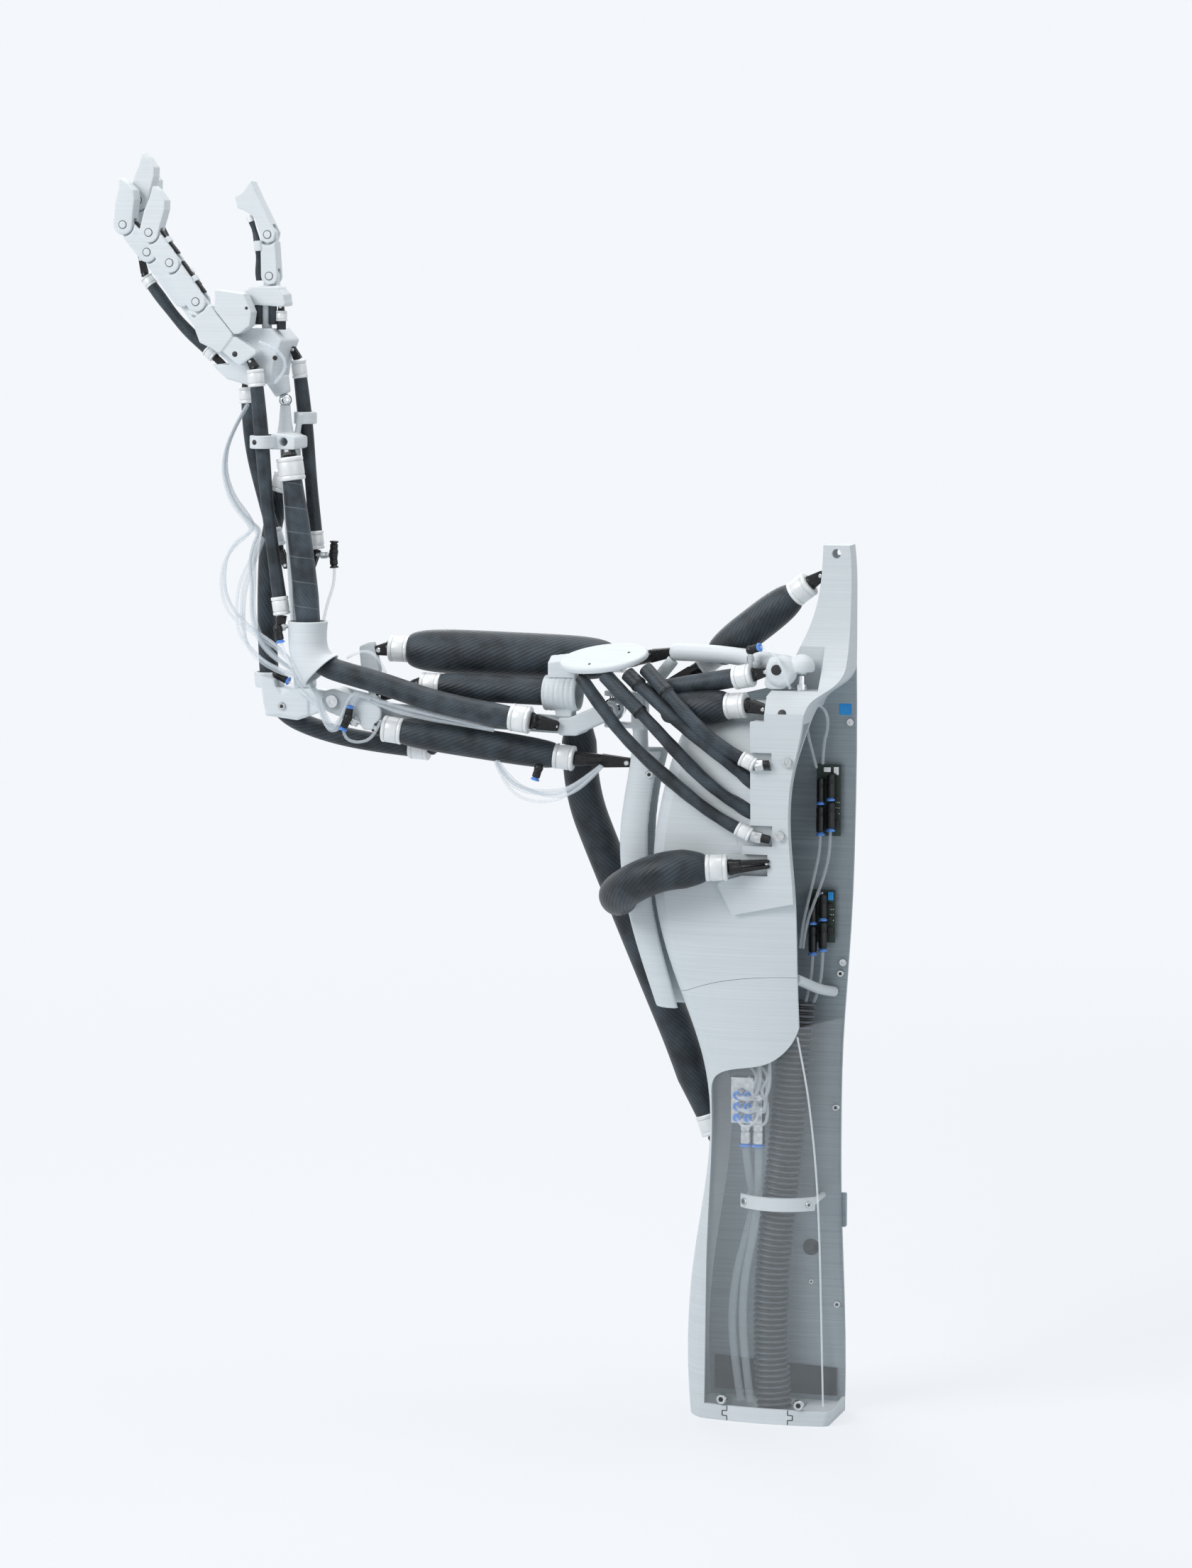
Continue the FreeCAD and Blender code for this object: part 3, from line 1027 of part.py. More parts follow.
def main():
    os.makedirs("parts", exist_ok=True)
    chest, waist, key = torso_shells()
    export("chest_shell", chest)
    export("waist_shell", waist)
    export("spine_plate", spine_plate())
    export("base_foot", [base_foot(), key])
    export("window", window())
    export("hose_strap", hose_strap())
    export("corrugated_hose", tube(HOSE_ROUTE, HOSE_R, "hose"))
    export("air_manifold", air_manifold())
    export("torso_fittings", torso_fittings())
    export("supply_tubes", [tube(route, SUPPLY_R, "supply tube") for route in SUPPLY_ROUTES])
    export("valve_boards", valve_boards())
    export("cross_strut", tube([(36, -34, 440), (39, -14, 434), (50, 8, 424), (59, PLATE_FRONT - 2.5, 419)], 5.0))
    export("torso_screws", torso_screws())
    export("sternum_stud", sternum_stud())
    export("clavicle", clavicle())
    export("scapula", scapula())
    export("shoulder_ball", shoulder_ball())
    export("humerus", humerus())
    export("deltoid_cap", deltoid_cap())
    export("muscle_sleeve", muscle_sleeve())
    export("elbow_axle", elbow_axle())
    export("elbow_funnel", elbow_funnel())
    export("elbow_yoke", elbow_yoke())
    export("forearm_bone", forearm_bone())
    export("wrist_bracket", wrist_bracket())
    export("wrist_ball", wrist_ball())
    export("palm", palm())
    export("palm_cover", palm_cover())
    for i, (name, (knuckle, middle, end, tip)) in enumerate(FINGERS.items()):
        y = finger_y(i)
        export(name + "_proximal", link(knuckle, middle, y, FINGER_WIDE, LINK_R, LINK_TIP_R))
        export(name + "_middle", link(middle, end, y, FINGER_WIDE, LINK_R, LINK_TIP_R))
        export(name + "_tip", fingertip(end, tip, y))
    export("thumb_base", thumb_base())
    export("thumb_proximal", link(*THUMB_JOINTS, THUMB_Y, FINGER_WIDE, THUMB_R, THUMB_TIP_R))
    export("thumb_tip", thumb_tip(THUMB_JOINTS[1], THUMB_Y))
    muscle_nodes()
    muscle_end_nodes()


main()
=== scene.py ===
# %% [markdown]
# # An air-muscle arm on its half torso
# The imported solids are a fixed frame: every shape made here is in metres, in their axes, and goes
# where they say. The lesson goes from the camera to the finishes and the light, and then piece by
# piece: hose, shells and bones, muscles, their ends, fittings, thin tubes and small parts.

# %% Load the frame
import json
import math
import bmesh
import bpy
import numpy as np
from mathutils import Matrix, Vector

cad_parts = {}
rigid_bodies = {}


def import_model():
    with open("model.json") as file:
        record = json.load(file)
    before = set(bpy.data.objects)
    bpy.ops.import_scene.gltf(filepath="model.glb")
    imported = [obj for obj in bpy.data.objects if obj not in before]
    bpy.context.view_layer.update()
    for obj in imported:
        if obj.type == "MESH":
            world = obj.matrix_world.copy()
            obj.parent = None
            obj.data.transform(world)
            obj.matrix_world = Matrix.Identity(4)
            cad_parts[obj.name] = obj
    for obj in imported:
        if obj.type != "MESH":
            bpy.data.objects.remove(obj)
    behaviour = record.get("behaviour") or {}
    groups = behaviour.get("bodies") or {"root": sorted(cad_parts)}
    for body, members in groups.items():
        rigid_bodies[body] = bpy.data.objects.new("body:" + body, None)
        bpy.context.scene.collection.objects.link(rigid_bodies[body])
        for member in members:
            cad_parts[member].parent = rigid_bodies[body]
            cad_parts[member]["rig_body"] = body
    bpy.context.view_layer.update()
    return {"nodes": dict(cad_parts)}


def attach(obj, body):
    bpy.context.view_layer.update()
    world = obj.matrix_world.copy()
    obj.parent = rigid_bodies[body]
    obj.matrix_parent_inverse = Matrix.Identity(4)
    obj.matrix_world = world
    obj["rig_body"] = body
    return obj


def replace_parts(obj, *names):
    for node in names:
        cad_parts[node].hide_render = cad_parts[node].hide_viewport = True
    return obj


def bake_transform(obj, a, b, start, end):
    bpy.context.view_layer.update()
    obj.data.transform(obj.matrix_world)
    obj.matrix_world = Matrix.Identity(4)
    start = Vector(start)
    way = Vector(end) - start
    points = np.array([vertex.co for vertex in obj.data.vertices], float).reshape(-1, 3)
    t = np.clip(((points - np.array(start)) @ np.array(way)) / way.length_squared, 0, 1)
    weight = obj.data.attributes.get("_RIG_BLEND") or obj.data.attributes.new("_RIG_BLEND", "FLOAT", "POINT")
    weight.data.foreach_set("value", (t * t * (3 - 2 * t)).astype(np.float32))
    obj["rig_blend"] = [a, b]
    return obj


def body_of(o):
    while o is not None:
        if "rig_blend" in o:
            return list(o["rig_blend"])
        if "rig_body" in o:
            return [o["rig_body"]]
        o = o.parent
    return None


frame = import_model()
nodes = frame["nodes"]
MM = 0.001

# %% [markdown]
# ## Camera
# A long lens far away keeps the column's sides nearly parallel. It could be framed by eye, but its
# place is worked out from straight edges whose size is known, so the render lies over the photograph.

# %% Camera
AZIMUTH, ELEVATION = math.radians(15.75), math.radians(6.75)
CAMERA_AT = Vector((1.1372, -4.6494, 1.1909))
SENSOR_MM = 36.0
FOCAL_PX, TALL_PX = 7000.0, 2210.0      # focal length and height of the picture, in its pixels
back = Vector((math.sin(AZIMUTH) * math.cos(ELEVATION), -math.cos(AZIMUTH) * math.cos(ELEVATION),
               math.sin(ELEVATION)))
camera = bpy.data.objects.new("camera", bpy.data.cameras.new("camera"))
bpy.context.scene.collection.objects.link(camera)
camera.data.sensor_width = SENSOR_MM
camera.data.lens = FOCAL_PX * SENSOR_MM / TALL_PX
camera.data.clip_end = 50.0
camera.location = CAMERA_AT
camera.rotation_euler = (-back).to_track_quat("-Z", "Y").to_euler()
bpy.context.scene.camera = camera
print("lens", round(camera.data.lens, 1))

# %% [markdown]
# ## Lines, grids and pieces
# Nearly everything on this object is a profile carried along a line: muscles, tubes, sleeves, pins.
# A profile on a line is a grid of points, so one function turns any grid into quads, and one more
# puts the grids of a piece into a mesh. The line itself is a NURBS spline through its route's points.


# %% Lines
def unit(v):
    """Each vector divided by its length."""
    return v / np.linalg.norm(v, axis=-1, keepdims=True)


def arrays(*places):
    """Places as arrays of floats."""
    return [np.array(place, float) for place in places]


def lengths(line):
    """Distance along the line at each of its points."""
    steps = np.linalg.norm(np.diff(line, axis=0), axis=1)
    return np.concatenate([[0.0], np.cumsum(steps)])


def resample(at, run, rows):
    """Rows of three numbers, known at the distances run, read off at other distances."""
    return np.stack([np.interp(at, run, rows[:, k]) for k in range(3)], -1)


def nurbs_line(route, step):
    """Centreline of a route in mm: a NURBS spline of order 3 whose control points are the route's points,
    then read off at points about one step, in metres, apart."""
    curve = bpy.data.curves.new("route", "CURVE")
    curve.dimensions = "3D"
    curve.resolution_u = 20
    spline = curve.splines.new("NURBS")
    spline.points.add(len(route) - 1)
    control = np.ones((len(route), 4))
    control[:, :3] = np.array(route, float) * MM
    spline.points.foreach_set("co", control.ravel())
    spline.order_u = 3
    spline.use_endpoint_u = True
    holder = bpy.data.objects.new("route", curve)
    mesh = bpy.data.meshes.new_from_object(holder)
    line = np.zeros(len(mesh.vertices) * 3)
    mesh.vertices.foreach_get("co", line)
    bpy.data.objects.remove(holder)
    bpy.data.curves.remove(curve)
    bpy.data.meshes.remove(mesh)
    line = line.reshape(-1, 3)
    run = lengths(line)
    count = max(3, int(round(run[-1] / step)) + 1)
    return resample(np.linspace(0, run[-1], count), run, line)


def straight(a, b, count=60):
    """Points from a to b in mm, in metres."""
    return np.array(a) * MM + np.linspace(0, 1, count)[:, None] * (np.array(b) - np.array(a)) * MM


def axes_along(line):
    """Side and up at each point: the side is the normal of the line's best plane, squared to the tangent."""
    tangent = unit(np.gradient(line, axis=0))
    plane = np.linalg.svd(line - line.mean(0))[2][2]
    side = unit(plane - (tangent @ plane)[:, None] * tangent)
    return side, np.cross(tangent, side)


# %% Grids
def grid_part(grid, slot=0):
    """Quads between neighbours of a grid (rows along, columns round, closed round), and at each end a fan to
    a middle point. The map is metres round and metres along, so that a weave keeps its size."""
    rows, cols = grid.shape[:2]
    i, j = np.meshgrid(np.arange(rows - 1), np.arange(cols), indexing="ij")
    k = (j + 1) % cols
    quads = np.stack([i * cols + j, i * cols + k, (i + 1) * cols + k, (i + 1) * cols + j], -1).reshape(-1, 4)
    girth = np.linalg.norm(grid - np.roll(grid, -1, 1), axis=2).sum(1).max()
    along = lengths(grid.mean(1))
    u = np.stack([j, j + 1, j + 1, j], -1) / cols * girth
    v = np.stack([along[i], along[i], along[i + 1], along[i + 1]], -1)
    ring, after = np.arange(cols), (np.arange(cols) + 1) % cols
    low, last = np.full(cols, rows * cols), (rows - 1) * cols
    fans = [np.stack([after, ring, low], 1), np.stack([last + ring, last + after, low + 1], 1)]
    tris = np.concatenate(fans)
    verts = np.concatenate([grid.reshape(-1, 3), grid[:1].mean(1), grid[-1:].mean(1)])
    maps = np.concatenate([np.stack([u, v], -1).reshape(-1, 2), np.zeros((tris.size, 2))])
    return verts, quads, tris, maps, slot


def tube(line, side, up, radius, around):
    """At each point of the line, a circle of the radius there in the plane of side and up."""
    turn = np.linspace(0, 2 * np.pi, around, endpoint=False)[None, :, None]
    ring = np.cos(turn) * side[:, None] + np.sin(turn) * up[:, None]
    return grid_part(line[:, None] + np.broadcast_to(radius, len(line))[:, None, None] * ring)


CRIMPS = 6


def turned(a, b, profile, around=32, slot=0, crimp=0.0):
    """Turned shape between two points in mm: profile is (share of the length, radius in mm).
    A crimp presses narrow straight grooves into the widest part of the barrel."""
    a, b = (place * MM for place in arrays(a, b))
    share, radius = np.array(profile, float).T
    line = a + share[:, None] * (b - a)
    axis = unit(b - a)
    side = unit(np.cross((0.0, 0, 1) if abs(axis[2]) < 0.9 else (0.0, 1, 0), axis))
    up = np.cross(axis, side)
    turn = np.linspace(0, 2 * np.pi, around, endpoint=False)
    ring = np.cos(turn)[:, None] * side + np.sin(turn)[:, None] * up
    groove = np.maximum(0, np.cos(turn * CRIMPS)) ** 24
    wide = np.clip((radius / radius.max() - 0.97) / 0.03, 0, 1)
    radius = radius[:, None] - crimp * wide[:, None] * groove
    return grid_part(line[:, None] + (radius * MM)[:, :, None] * ring, slot)


def rounded_outline(width, height, corner, steps=4):
    """Rectangle with quarter-circle corners, counter-clockwise."""
    turn = np.linspace(0, np.pi / 2, steps + 1)
    arc = np.stack([np.cos(turn), np.sin(turn)], 1) * corner
    middle = np.array([[1, 1], [-1, 1], [-1, -1], [1, -1]]) * (np.array([width, height]) / 2 - corner)
    spun = [arc, arc[:, ::-1] * [-1, 1], -arc, arc[:, ::-1] * [1, -1]]
    return np.concatenate([m + s for m, s in zip(middle, spun)])


def bar(a, b, width, height, corner, chamfer, up=(0, 0, 1), slot=0, taper=1.0):
    """Bar from a to b in mm: a rounded rectangle carried along, drawn in by the chamfer at both ends."""
    a, b, up = arrays(a, b, up)
    axis = unit(b - a)
    side = unit(np.cross(up, axis))
    top = np.cross(axis, side)
    long = np.linalg.norm(b - a)
    at = np.array([0, chamfer, long - chamfer, long])
    drawn_in = 2 * chamfer / np.array([width, height])
    scale = np.stack([1 - drawn_in, [1, 1], [taper, taper], taper - drawn_in])
    flat = rounded_outline(width, height, corner)[None] * scale[:, None]
    grid = a + at[:, None, None] * axis + flat[..., :1] * side + flat[..., 1:] * top
    return grid_part(grid * MM, slot)


def slab(outline, y0, y1, edge=2.0):
    """Plate whose outline is (x, z) points in mm, from y0 to y1, drawn in a little at both faces."""
    flat = np.array(outline, float)
    middle = flat.mean(0)
    rows = [(y0, 0.93), (y0 + edge, 1.0), (y1 - edge, 1.0), (y1, 0.93)]
    grid = np.stack([np.insert(middle + (flat - middle) * scale, 1, y, axis=1) for y, scale in rows])
    return grid_part(grid * MM)


# %% Pieces
def piece(name, parts, materials, sharp=35.0):
    """One mesh of several grids, smooth where the surface turns by less than the sharp angle."""
    offset, verts, faces, maps, slots = 0, [], [], [], []
    for points, quads, tris, uv, slot in parts:
        verts.append(points)
        faces += (quads + offset).tolist() + (tris + offset).tolist()
        maps.append(uv)
        slots.append(np.broadcast_to(slot, len(quads) + len(tris)))
        offset += len(points)
    mesh = bpy.data.meshes.new(name)
    mesh.from_pydata(np.concatenate(verts), [], faces)
    mesh.uv_layers.new(name="UVMap").data.foreach_set("uv", np.concatenate(maps).ravel())
    for material in materials:
        mesh.materials.append(material)
    mesh.polygons.foreach_set("material_index", np.concatenate(slots))
    mesh.polygons.foreach_set("use_smooth", np.ones(len(faces), bool))
    mesh.set_sharp_from_angle(angle=math.radians(sharp))
    mesh.update()
    made = bpy.data.objects.new(name, mesh)
    bpy.context.scene.collection.objects.link(made)
    return made


def riding(name, parts, materials, body):
    """A piece that moves with one body."""
    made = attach(piece(name, parts, materials), body)
    return made


# %% [markdown]
# ## Finishes
# Each finish starts from what the real one is. A picture could be wrapped round the pieces, but
# procedural nodes keep their scale in real millimetres and need no file. One function adds a node.


# %% Colours and nodes
def linear(code):
    """sRGB hex to linear light: the usual curve, channel by channel."""
    value = np.array([int(code[k:k + 2], 16) for k in (1, 3, 5)]) / 255
    low, high = value / 12.92, ((value + 0.055) / 1.055) ** 2.4
    return (*np.where(value <= 0.04045, low, high), 1.0)


def add(tree, kind, inputs=None, **settings):
    """One node: settings are its properties; an input that is a socket is linked, a value is set."""
    made = tree.nodes.new(kind)
    for name, value in settings.items():
        setattr(made, name, value)
    for name, value in (inputs or {}).items():
        if isinstance(value, bpy.types.NodeSocket):
            tree.links.new(value, made.inputs[name])
        else:
            made.inputs[name].default_value = value
    return made


def new_finish(name, **sockets):
    """A material whose Principled shader has these sockets set."""
    material = bpy.data.materials.new(name)
    material.use_nodes = True
    shader = material.node_tree.nodes["Principled BSDF"]
    for key, value in sockets.items():
        shader.inputs[key.replace("_", " ")].default_value = value
    return material, material.node_tree, shader


def mottle(tree, shader, place, colours, feature_mm, rough, stretch=(1, 1, 1), detail=3.0):
    """Noise of a real feature size that varies the colour between two tones, and the roughness."""
    size = tuple(s / (feature_mm * MM) for s in stretch)
    scaled = add(tree, "ShaderNodeMapping", {"Vector": place, "Scale": size})
    noise = add(tree, "ShaderNodeTexNoise", {"Vector": scaled.outputs[0], "Scale": 1.0, "Detail": detail})
    ramp = add(tree, "ShaderNodeValToRGB", {"Fac": noise.outputs[0]})
    for stop, at, code in zip(ramp.color_ramp.elements, (0.36, 0.64), colours):
        stop.position = at
        stop.color = linear(code)
    tree.links.new(ramp.outputs[0], shader.inputs["Base Color"])
    span = add(tree, "ShaderNodeMapRange", {"Value": noise.outputs[0], "From Min": 0.3, "From Max": 0.7,
                                            "To Min": rough[0], "To Max": rough[1]})
    tree.links.new(span.outputs[0], shader.inputs["Roughness"])
    return noise.outputs[0]


def cover(tree, shader, share, code):
    """Puts a colour over the base colour so far, by the share that a socket gives."""
    below = shader.inputs["Base Color"].links[0].from_socket
    both = add(tree, "ShaderNodeMix", {"Factor": share, "A": below, "B": linear(code)}, data_type="RGBA")
    tree.links.new(both.outputs["Result"], shader.inputs["Base Color"])


def emboss(tree, shader, height, depth_mm, strength, before=None):
    """Bump of a real depth, on top of an earlier bump if there is one."""
    links = {"Height": height, "Distance": depth_mm * MM, "Strength": strength}
    if before:
        links["Normal"] = before
    bump = add(tree, "ShaderNodeBump", links)
    tree.links.new(bump.outputs[0], shader.inputs["Normal"])
    return bump.outputs[0]


# %% [markdown]
# ### Sintered nylon
# The shells, bones and finger links are laser-sintered nylon: matt pale grey, with the fine level
# lines of the layers that it grew in. The real layers are 0.1 mm; drawn 0.7 mm apart, so that they show.

# %% Sintered nylon
LAYER_MM, STAIN_MM, GRAIN_MM = 0.7, 38.0, 0.6


def sintered(name, light, dark):
    """Level layers from noise stretched flat, broad soft stains from a second noise, and a fine grain."""
    material, tree, shader = new_finish(name, Roughness=0.58, IOR=1.5)
    place = add(tree, "ShaderNodeTexCoord").outputs["Object"]
    layers = mottle(tree, shader, place, (dark, light), LAYER_MM, (0.5, 0.62), (0.004, 0.004, 1.0), 2.0)
    stain = add(tree, "ShaderNodeTexNoise", {"Vector": place, "Scale": 1 / (STAIN_MM * MM), "Detail": 3.0})
    worn = add(tree, "ShaderNodeMapRange", {"Value": stain.outputs[0], "From Min": 0.5, "From Max": 0.75,
                                            "To Max": 0.35})
    cover(tree, shader, worn.outputs[0], dark)
    first = emboss(tree, shader, layers, 0.03, 0.16)
    grain = add(tree, "ShaderNodeTexNoise", {"Vector": place, "Scale": 1 / (GRAIN_MM * MM), "Detail": 2.0})
    emboss(tree, shader, grain.outputs[0], 0.05, 0.22, first)
    return material


nylon = sintered("sintered_nylon_grey", "#cfd6d9", "#c6cdd1")
nylon_pale = sintered("sintered_nylon_fresh", "#d8dee1", "#d0d6da")
print("finishes", [m.name for m in (nylon, nylon_pale)])

# %% [markdown]
# ### Woven muscle hose
# An air muscle is a rubber hose in an aramid weave, so its skin is slate dark and soft, with fine
# ribs that climb round it. The ribs follow the piece's own map: metres round and metres along. The
# real ones are under 2 mm apart; they are drawn coarser, so that they show.

# %% Muscle hose
WAVE_PERIOD = 2 * math.pi / 20      # a band texture of scale 1 repeats after this many metres
FIBRE_MM = 1.1


def muscle_hose(name, tones, rib_mm, lean, rib_depth, wrap_mm=0.0):
    """Slate skin with fine leaning ribs; wraps are the pale edges of a tape wound at a gentle slope."""
    material, tree, shader = new_finish(name, Roughness=0.6, IOR=1.48, Specular_IOR_Level=0.3,
                                        Sheen_Weight=0.08, Sheen_Roughness=0.5)
    place = add(tree, "ShaderNodeTexCoord").outputs["UV"]
    body = add(tree, "ShaderNodeTexCoord").outputs["Object"]
    mottle(tree, shader, body, tones, 22.0, (0.42, 0.56), (1, 1, 1), 6.0)
    leaning = add(tree, "ShaderNodeMapping", {"Vector": place, "Rotation": (0, 0, math.radians(lean))})
    ribs = add(tree, "ShaderNodeTexWave", {"Vector": leaning.outputs[0], "Scale": WAVE_PERIOD / (rib_mm * MM),
                                           "Distortion": 0.5, "Detail": 1.0, "Detail Scale": 0.4},
               bands_direction="Y")
    # Painted shade: the grooves between the ribs are darkened towards near black in the base colour.
    groove = add(tree, "ShaderNodeMapRange", {"Value": ribs.outputs["Fac"], "To Min": rib_depth * 1.4,
                                              "To Max": 0.0})
    cover(tree, shader, groove.outputs[0], "#121416")
    first = emboss(tree, shader, ribs.outputs["Fac"], rib_depth, 0.55)
    fibre = add(tree, "ShaderNodeTexNoise", {"Vector": body, "Scale": 1 / (FIBRE_MM * MM), "Detail": 3.0})
    second = emboss(tree, shader, fibre.outputs[0], 0.12, 0.25, first)
    if wrap_mm:
        sloping = add(tree, "ShaderNodeMapping", {"Vector": place, "Rotation": (0, 0, math.radians(12))})
        wraps = add(tree, "ShaderNodeTexWave", {"Vector": sloping.outputs[0],
                                                "Scale": WAVE_PERIOD / (wrap_mm * MM)},
                    bands_direction="Y", wave_profile="SAW")
        edge = add(tree, "ShaderNodeMapRange", {"Value": wraps.outputs["Fac"], "From Min": 0.94,
                                                "From Max": 1.0, "To Max": 0.7})
        emboss(tree, shader, edge.outputs[0], 0.4, 0.7, second)
        cover(tree, shader, edge.outputs[0], "#7d858b")
    return material


ribbed_hose = muscle_hose("aramid_weave_slate", ("#1f262b", "#3d474f"), 3.6, 62, 0.32)
smooth_hose = muscle_hose("rubber_hose_slate", ("#1f262b", "#414b53"), 3.0, 55, 0.16)
wrapped_hose = muscle_hose("rubber_hose_wrapped", ("#2a3137", "#4a555e"), 3.0, 55, 0.16, 24.0)
print("hoses", ribbed_hose.name, smooth_hose.name, wrapped_hose.name)

# %% [markdown]
# ### Metals, plastics and clear parts
# The crimped end sleeves are pale anodised aluminium, the forks black anodised, the back plate
# brushed aluminium sheet, the balls polished steel. Release rings are blue acetal, tubes and the
# window clear plastic, the big hose and the fittings black nylon, the boards green glass fibre.


# %% Metals and plastics
def plain(name, tones, feature_mm, rough, metallic=0.0, stretch=(1, 1, 1), bump=0.03, **more):
    """A finish that varies gently: two tones and a range of roughness over a real feature size."""
    material, tree, shader = new_finish(name, Metallic=metallic, **more)
    place = add(tree, "ShaderNodeTexCoord").outputs["Object"]
    noise = mottle(tree, shader, place, tones, feature_mm, rough, stretch)
    emboss(tree, shader, noise, bump, 0.4)
    return material


DULL = {"Specular_IOR_Level": 0.35}
ferrule_alloy = plain("anodised_aluminium_pale", ("#dcdfe0", "#e7e9ea"), 16.0, (0.3, 0.4), 0.1, bump=0.01)
fork_black = plain("anodised_aluminium_black", ("#0c0d0f", "#191b1e"), 2.5, (0.24, 0.4), **DULL)
spine_metal = plain("brushed_aluminium_plate", ("#8a959b", "#9aa4aa"), 0.8, (0.36, 0.5), 0.35,
                    (0.01, 0.01, 1.0), 0.04)
nickel = plain("nickel_plated_brass", ("#b9bdbf", "#cfd2d3"), 4.0, (0.14, 0.26), 1.0)
steel = plain("polished_steel", ("#c9cdd0", "#dcdfe1"), 6.0, (0.06, 0.14), 1.0)
hose_black = plain("polyamide_hose_dark", ("#3d4348", "#4b5157"), 9.0, (0.3, 0.42))
rubber_black = plain("rubber_band_black", ("#0a0b0c", "#141618"), 3.0, (0.45, 0.6), Specular_IOR_Level=0.3)
fitting_black = plain("moulded_nylon_black", ("#0e0f11", "#191b1d"), 2.0, (0.3, 0.46), **DULL)
ring_blue = plain("acetal_blue", ("#4480d8", "#6a9fe8"), 2.0, (0.3, 0.42))
label_blue = plain("printed_film_blue", ("#1287d6", "#2f9fe6"), 8.0, (0.35, 0.45), bump=0.01)
board_green = plain("glass_fibre_board_green", ("#1c2a24", "#33453b"), 1.6, (0.32, 0.5), 0.0, (1, 0.2, 2.4))
chip_black = plain("moulded_epoxy_black", ("#141517", "#232528"), 0.8, (0.4, 0.6))

# %% [markdown]
# The hose's rings get painted shade in their grooves: a dark band along its map, in step with its radius.

# %% Rings of the hose
RING_MM = 5.7
tree = hose_black.node_tree
place = add(tree, "ShaderNodeTexCoord").outputs["UV"]
bands = add(tree, "ShaderNodeTexWave", {"Vector": place, "Scale": WAVE_PERIOD / (RING_MM * MM),
                                        "Phase Offset": math.pi / 2}, bands_direction="Y")
# Painted shade: the grooves between the rings are darkened towards near black in the base colour.
depth = add(tree, "ShaderNodeMapRange", {"Value": bands.outputs["Fac"], "From Min": 0.15, "From Max": 0.65,
                                         "To Min": 0.95, "To Max": 0.0})
cover(tree, tree.nodes["Principled BSDF"], depth.outputs[0], "#0b0c0d")
print("hose rings", RING_MM, "mm")


# %% Clear plastics
RIPPLE_MM = 14.0


def clear(name, code, alpha, rough, ior):
    """Clear plastic: a thin cover of pale tint over what lies behind it, with a gloss that waves a little."""
    material, tree, shader = new_finish(name, Base_Color=linear(code), Alpha=alpha, IOR=ior)
    place = add(tree, "ShaderNodeTexCoord").outputs["Object"]
    wavy = add(tree, "ShaderNodeTexNoise", {"Vector": place, "Scale": 1 / (RIPPLE_MM * MM), "Detail": 2.0})
    span = add(tree, "ShaderNodeMapRange", {"Value": wavy.outputs[0], "To Min": rough[0], "To Max": rough[1]})
    tree.links.new(span.outputs[0], shader.inputs["Roughness"])
    emboss(tree, shader, wavy.outputs[0], 0.05, 0.2)
    return material


acrylic = clear("clear_acrylic_sheet", "#e6eef2", 0.08, (0.02, 0.06), 1.49)
tube_clear = clear("polyurethane_tube_clear", "#e6edf3", 0.3, (0.06, 0.16), 1.5)
# The supply tubes in the waist get a greyer, more see-through copy of the tube's finish.
supply_clear = clear("polyurethane_tube_greyer", "#c3ced4", 0.24, (0.08, 0.2), 1.5)
# A pale, half-opaque finish for the line along the pane's edge: a painted highlight.
pane_edge_highlight = clear("clear_acrylic_painted_edge_highlight", "#f1f6f9", 0.5, (0.1, 0.2), 1.49)
print("clear plastics", acrylic.name, tube_clear.name)

# %% [markdown]
# ## Floor and light
# A wide pale floor meets a pale sky of the same colour, so no horizon shows from any side. What a
# camera, a mirror or a clear part sees of them is that colour; close to the object the floor is also
# lit like any other surface, which keeps its shadow. The lamps stay at a plain level.

# %% Floor
BACKDROP = "#f4f7fb"
FLOOR_HALF = 30.0
corners = np.array([(-1, -1, 0), (1, -1, 0), (1, 1, 0), (-1, 1, 0)]) * FLOOR_HALF
mesh = bpy.data.meshes.new("studio_floor")
mesh.from_pydata(corners, [], [(0, 1, 2, 3)])
floor = bpy.data.objects.new("studio_floor", mesh)
bpy.context.scene.collection.objects.link(floor)


def seen_directly(tree):
    """One for camera, mirror and see-through rays, zero for the rays that light the object."""
    path = add(tree, "ShaderNodeLightPath")
    seen = path.outputs["Is Camera Ray"]
    for ray in ("Is Glossy Ray", "Is Transmission Ray"):
        seen = add(tree, "ShaderNodeMath", {0: seen, 1: path.outputs[ray]}, operation="MAXIMUM").outputs[0]
    return seen


paper, tree, shader = new_finish("studio_paper", Base_Color=linear("#e4eaef"), Roughness=0.9)
place = add(tree, "ShaderNodeTexCoord").outputs["Object"]
away = add(tree, "ShaderNodeVectorMath", {0: place}, operation="LENGTH")
fade = add(tree, "ShaderNodeMapRange", {"Value": away.outputs["Value"], "From Min": 0.8, "From Max": 3.2,
                                        "To Min": 0.74, "To Max": 1.0}, interpolation_type="SMOOTHSTEP")
share = add(tree, "ShaderNodeMath", {0: seen_directly(tree), 1: fade.outputs[0]}, operation="MULTIPLY")
glow = add(tree, "ShaderNodeEmission", {"Color": linear(BACKDROP), "Strength": 1.0})
both = add(tree, "ShaderNodeMixShader", {0: share.outputs[0], 1: shader.outputs[0], 2: glow.outputs[0]})
tree.links.new(both.outputs[0], tree.nodes["Material Output"].inputs["Surface"])
mesh.materials.append(paper)

# %% Sky
world = bpy.context.scene.world or bpy.data.worlds.new("studio")
bpy.context.scene.world = world
world.use_nodes = True
tree = world.node_tree
sky = tree.nodes["Background"]
sky.inputs["Color"].default_value = linear("#eef3f7")
sky.inputs["Strength"].default_value = 0.27
pale = add(tree, "ShaderNodeBackground", {"Color": linear(BACKDROP), "Strength": 1.0})
both = add(tree, "ShaderNodeMixShader", {0: seen_directly(tree), 1: sky.outputs[0], 2: pale.outputs[0]})
tree.links.new(both.outputs[0], tree.nodes["World Output"].inputs["Surface"])

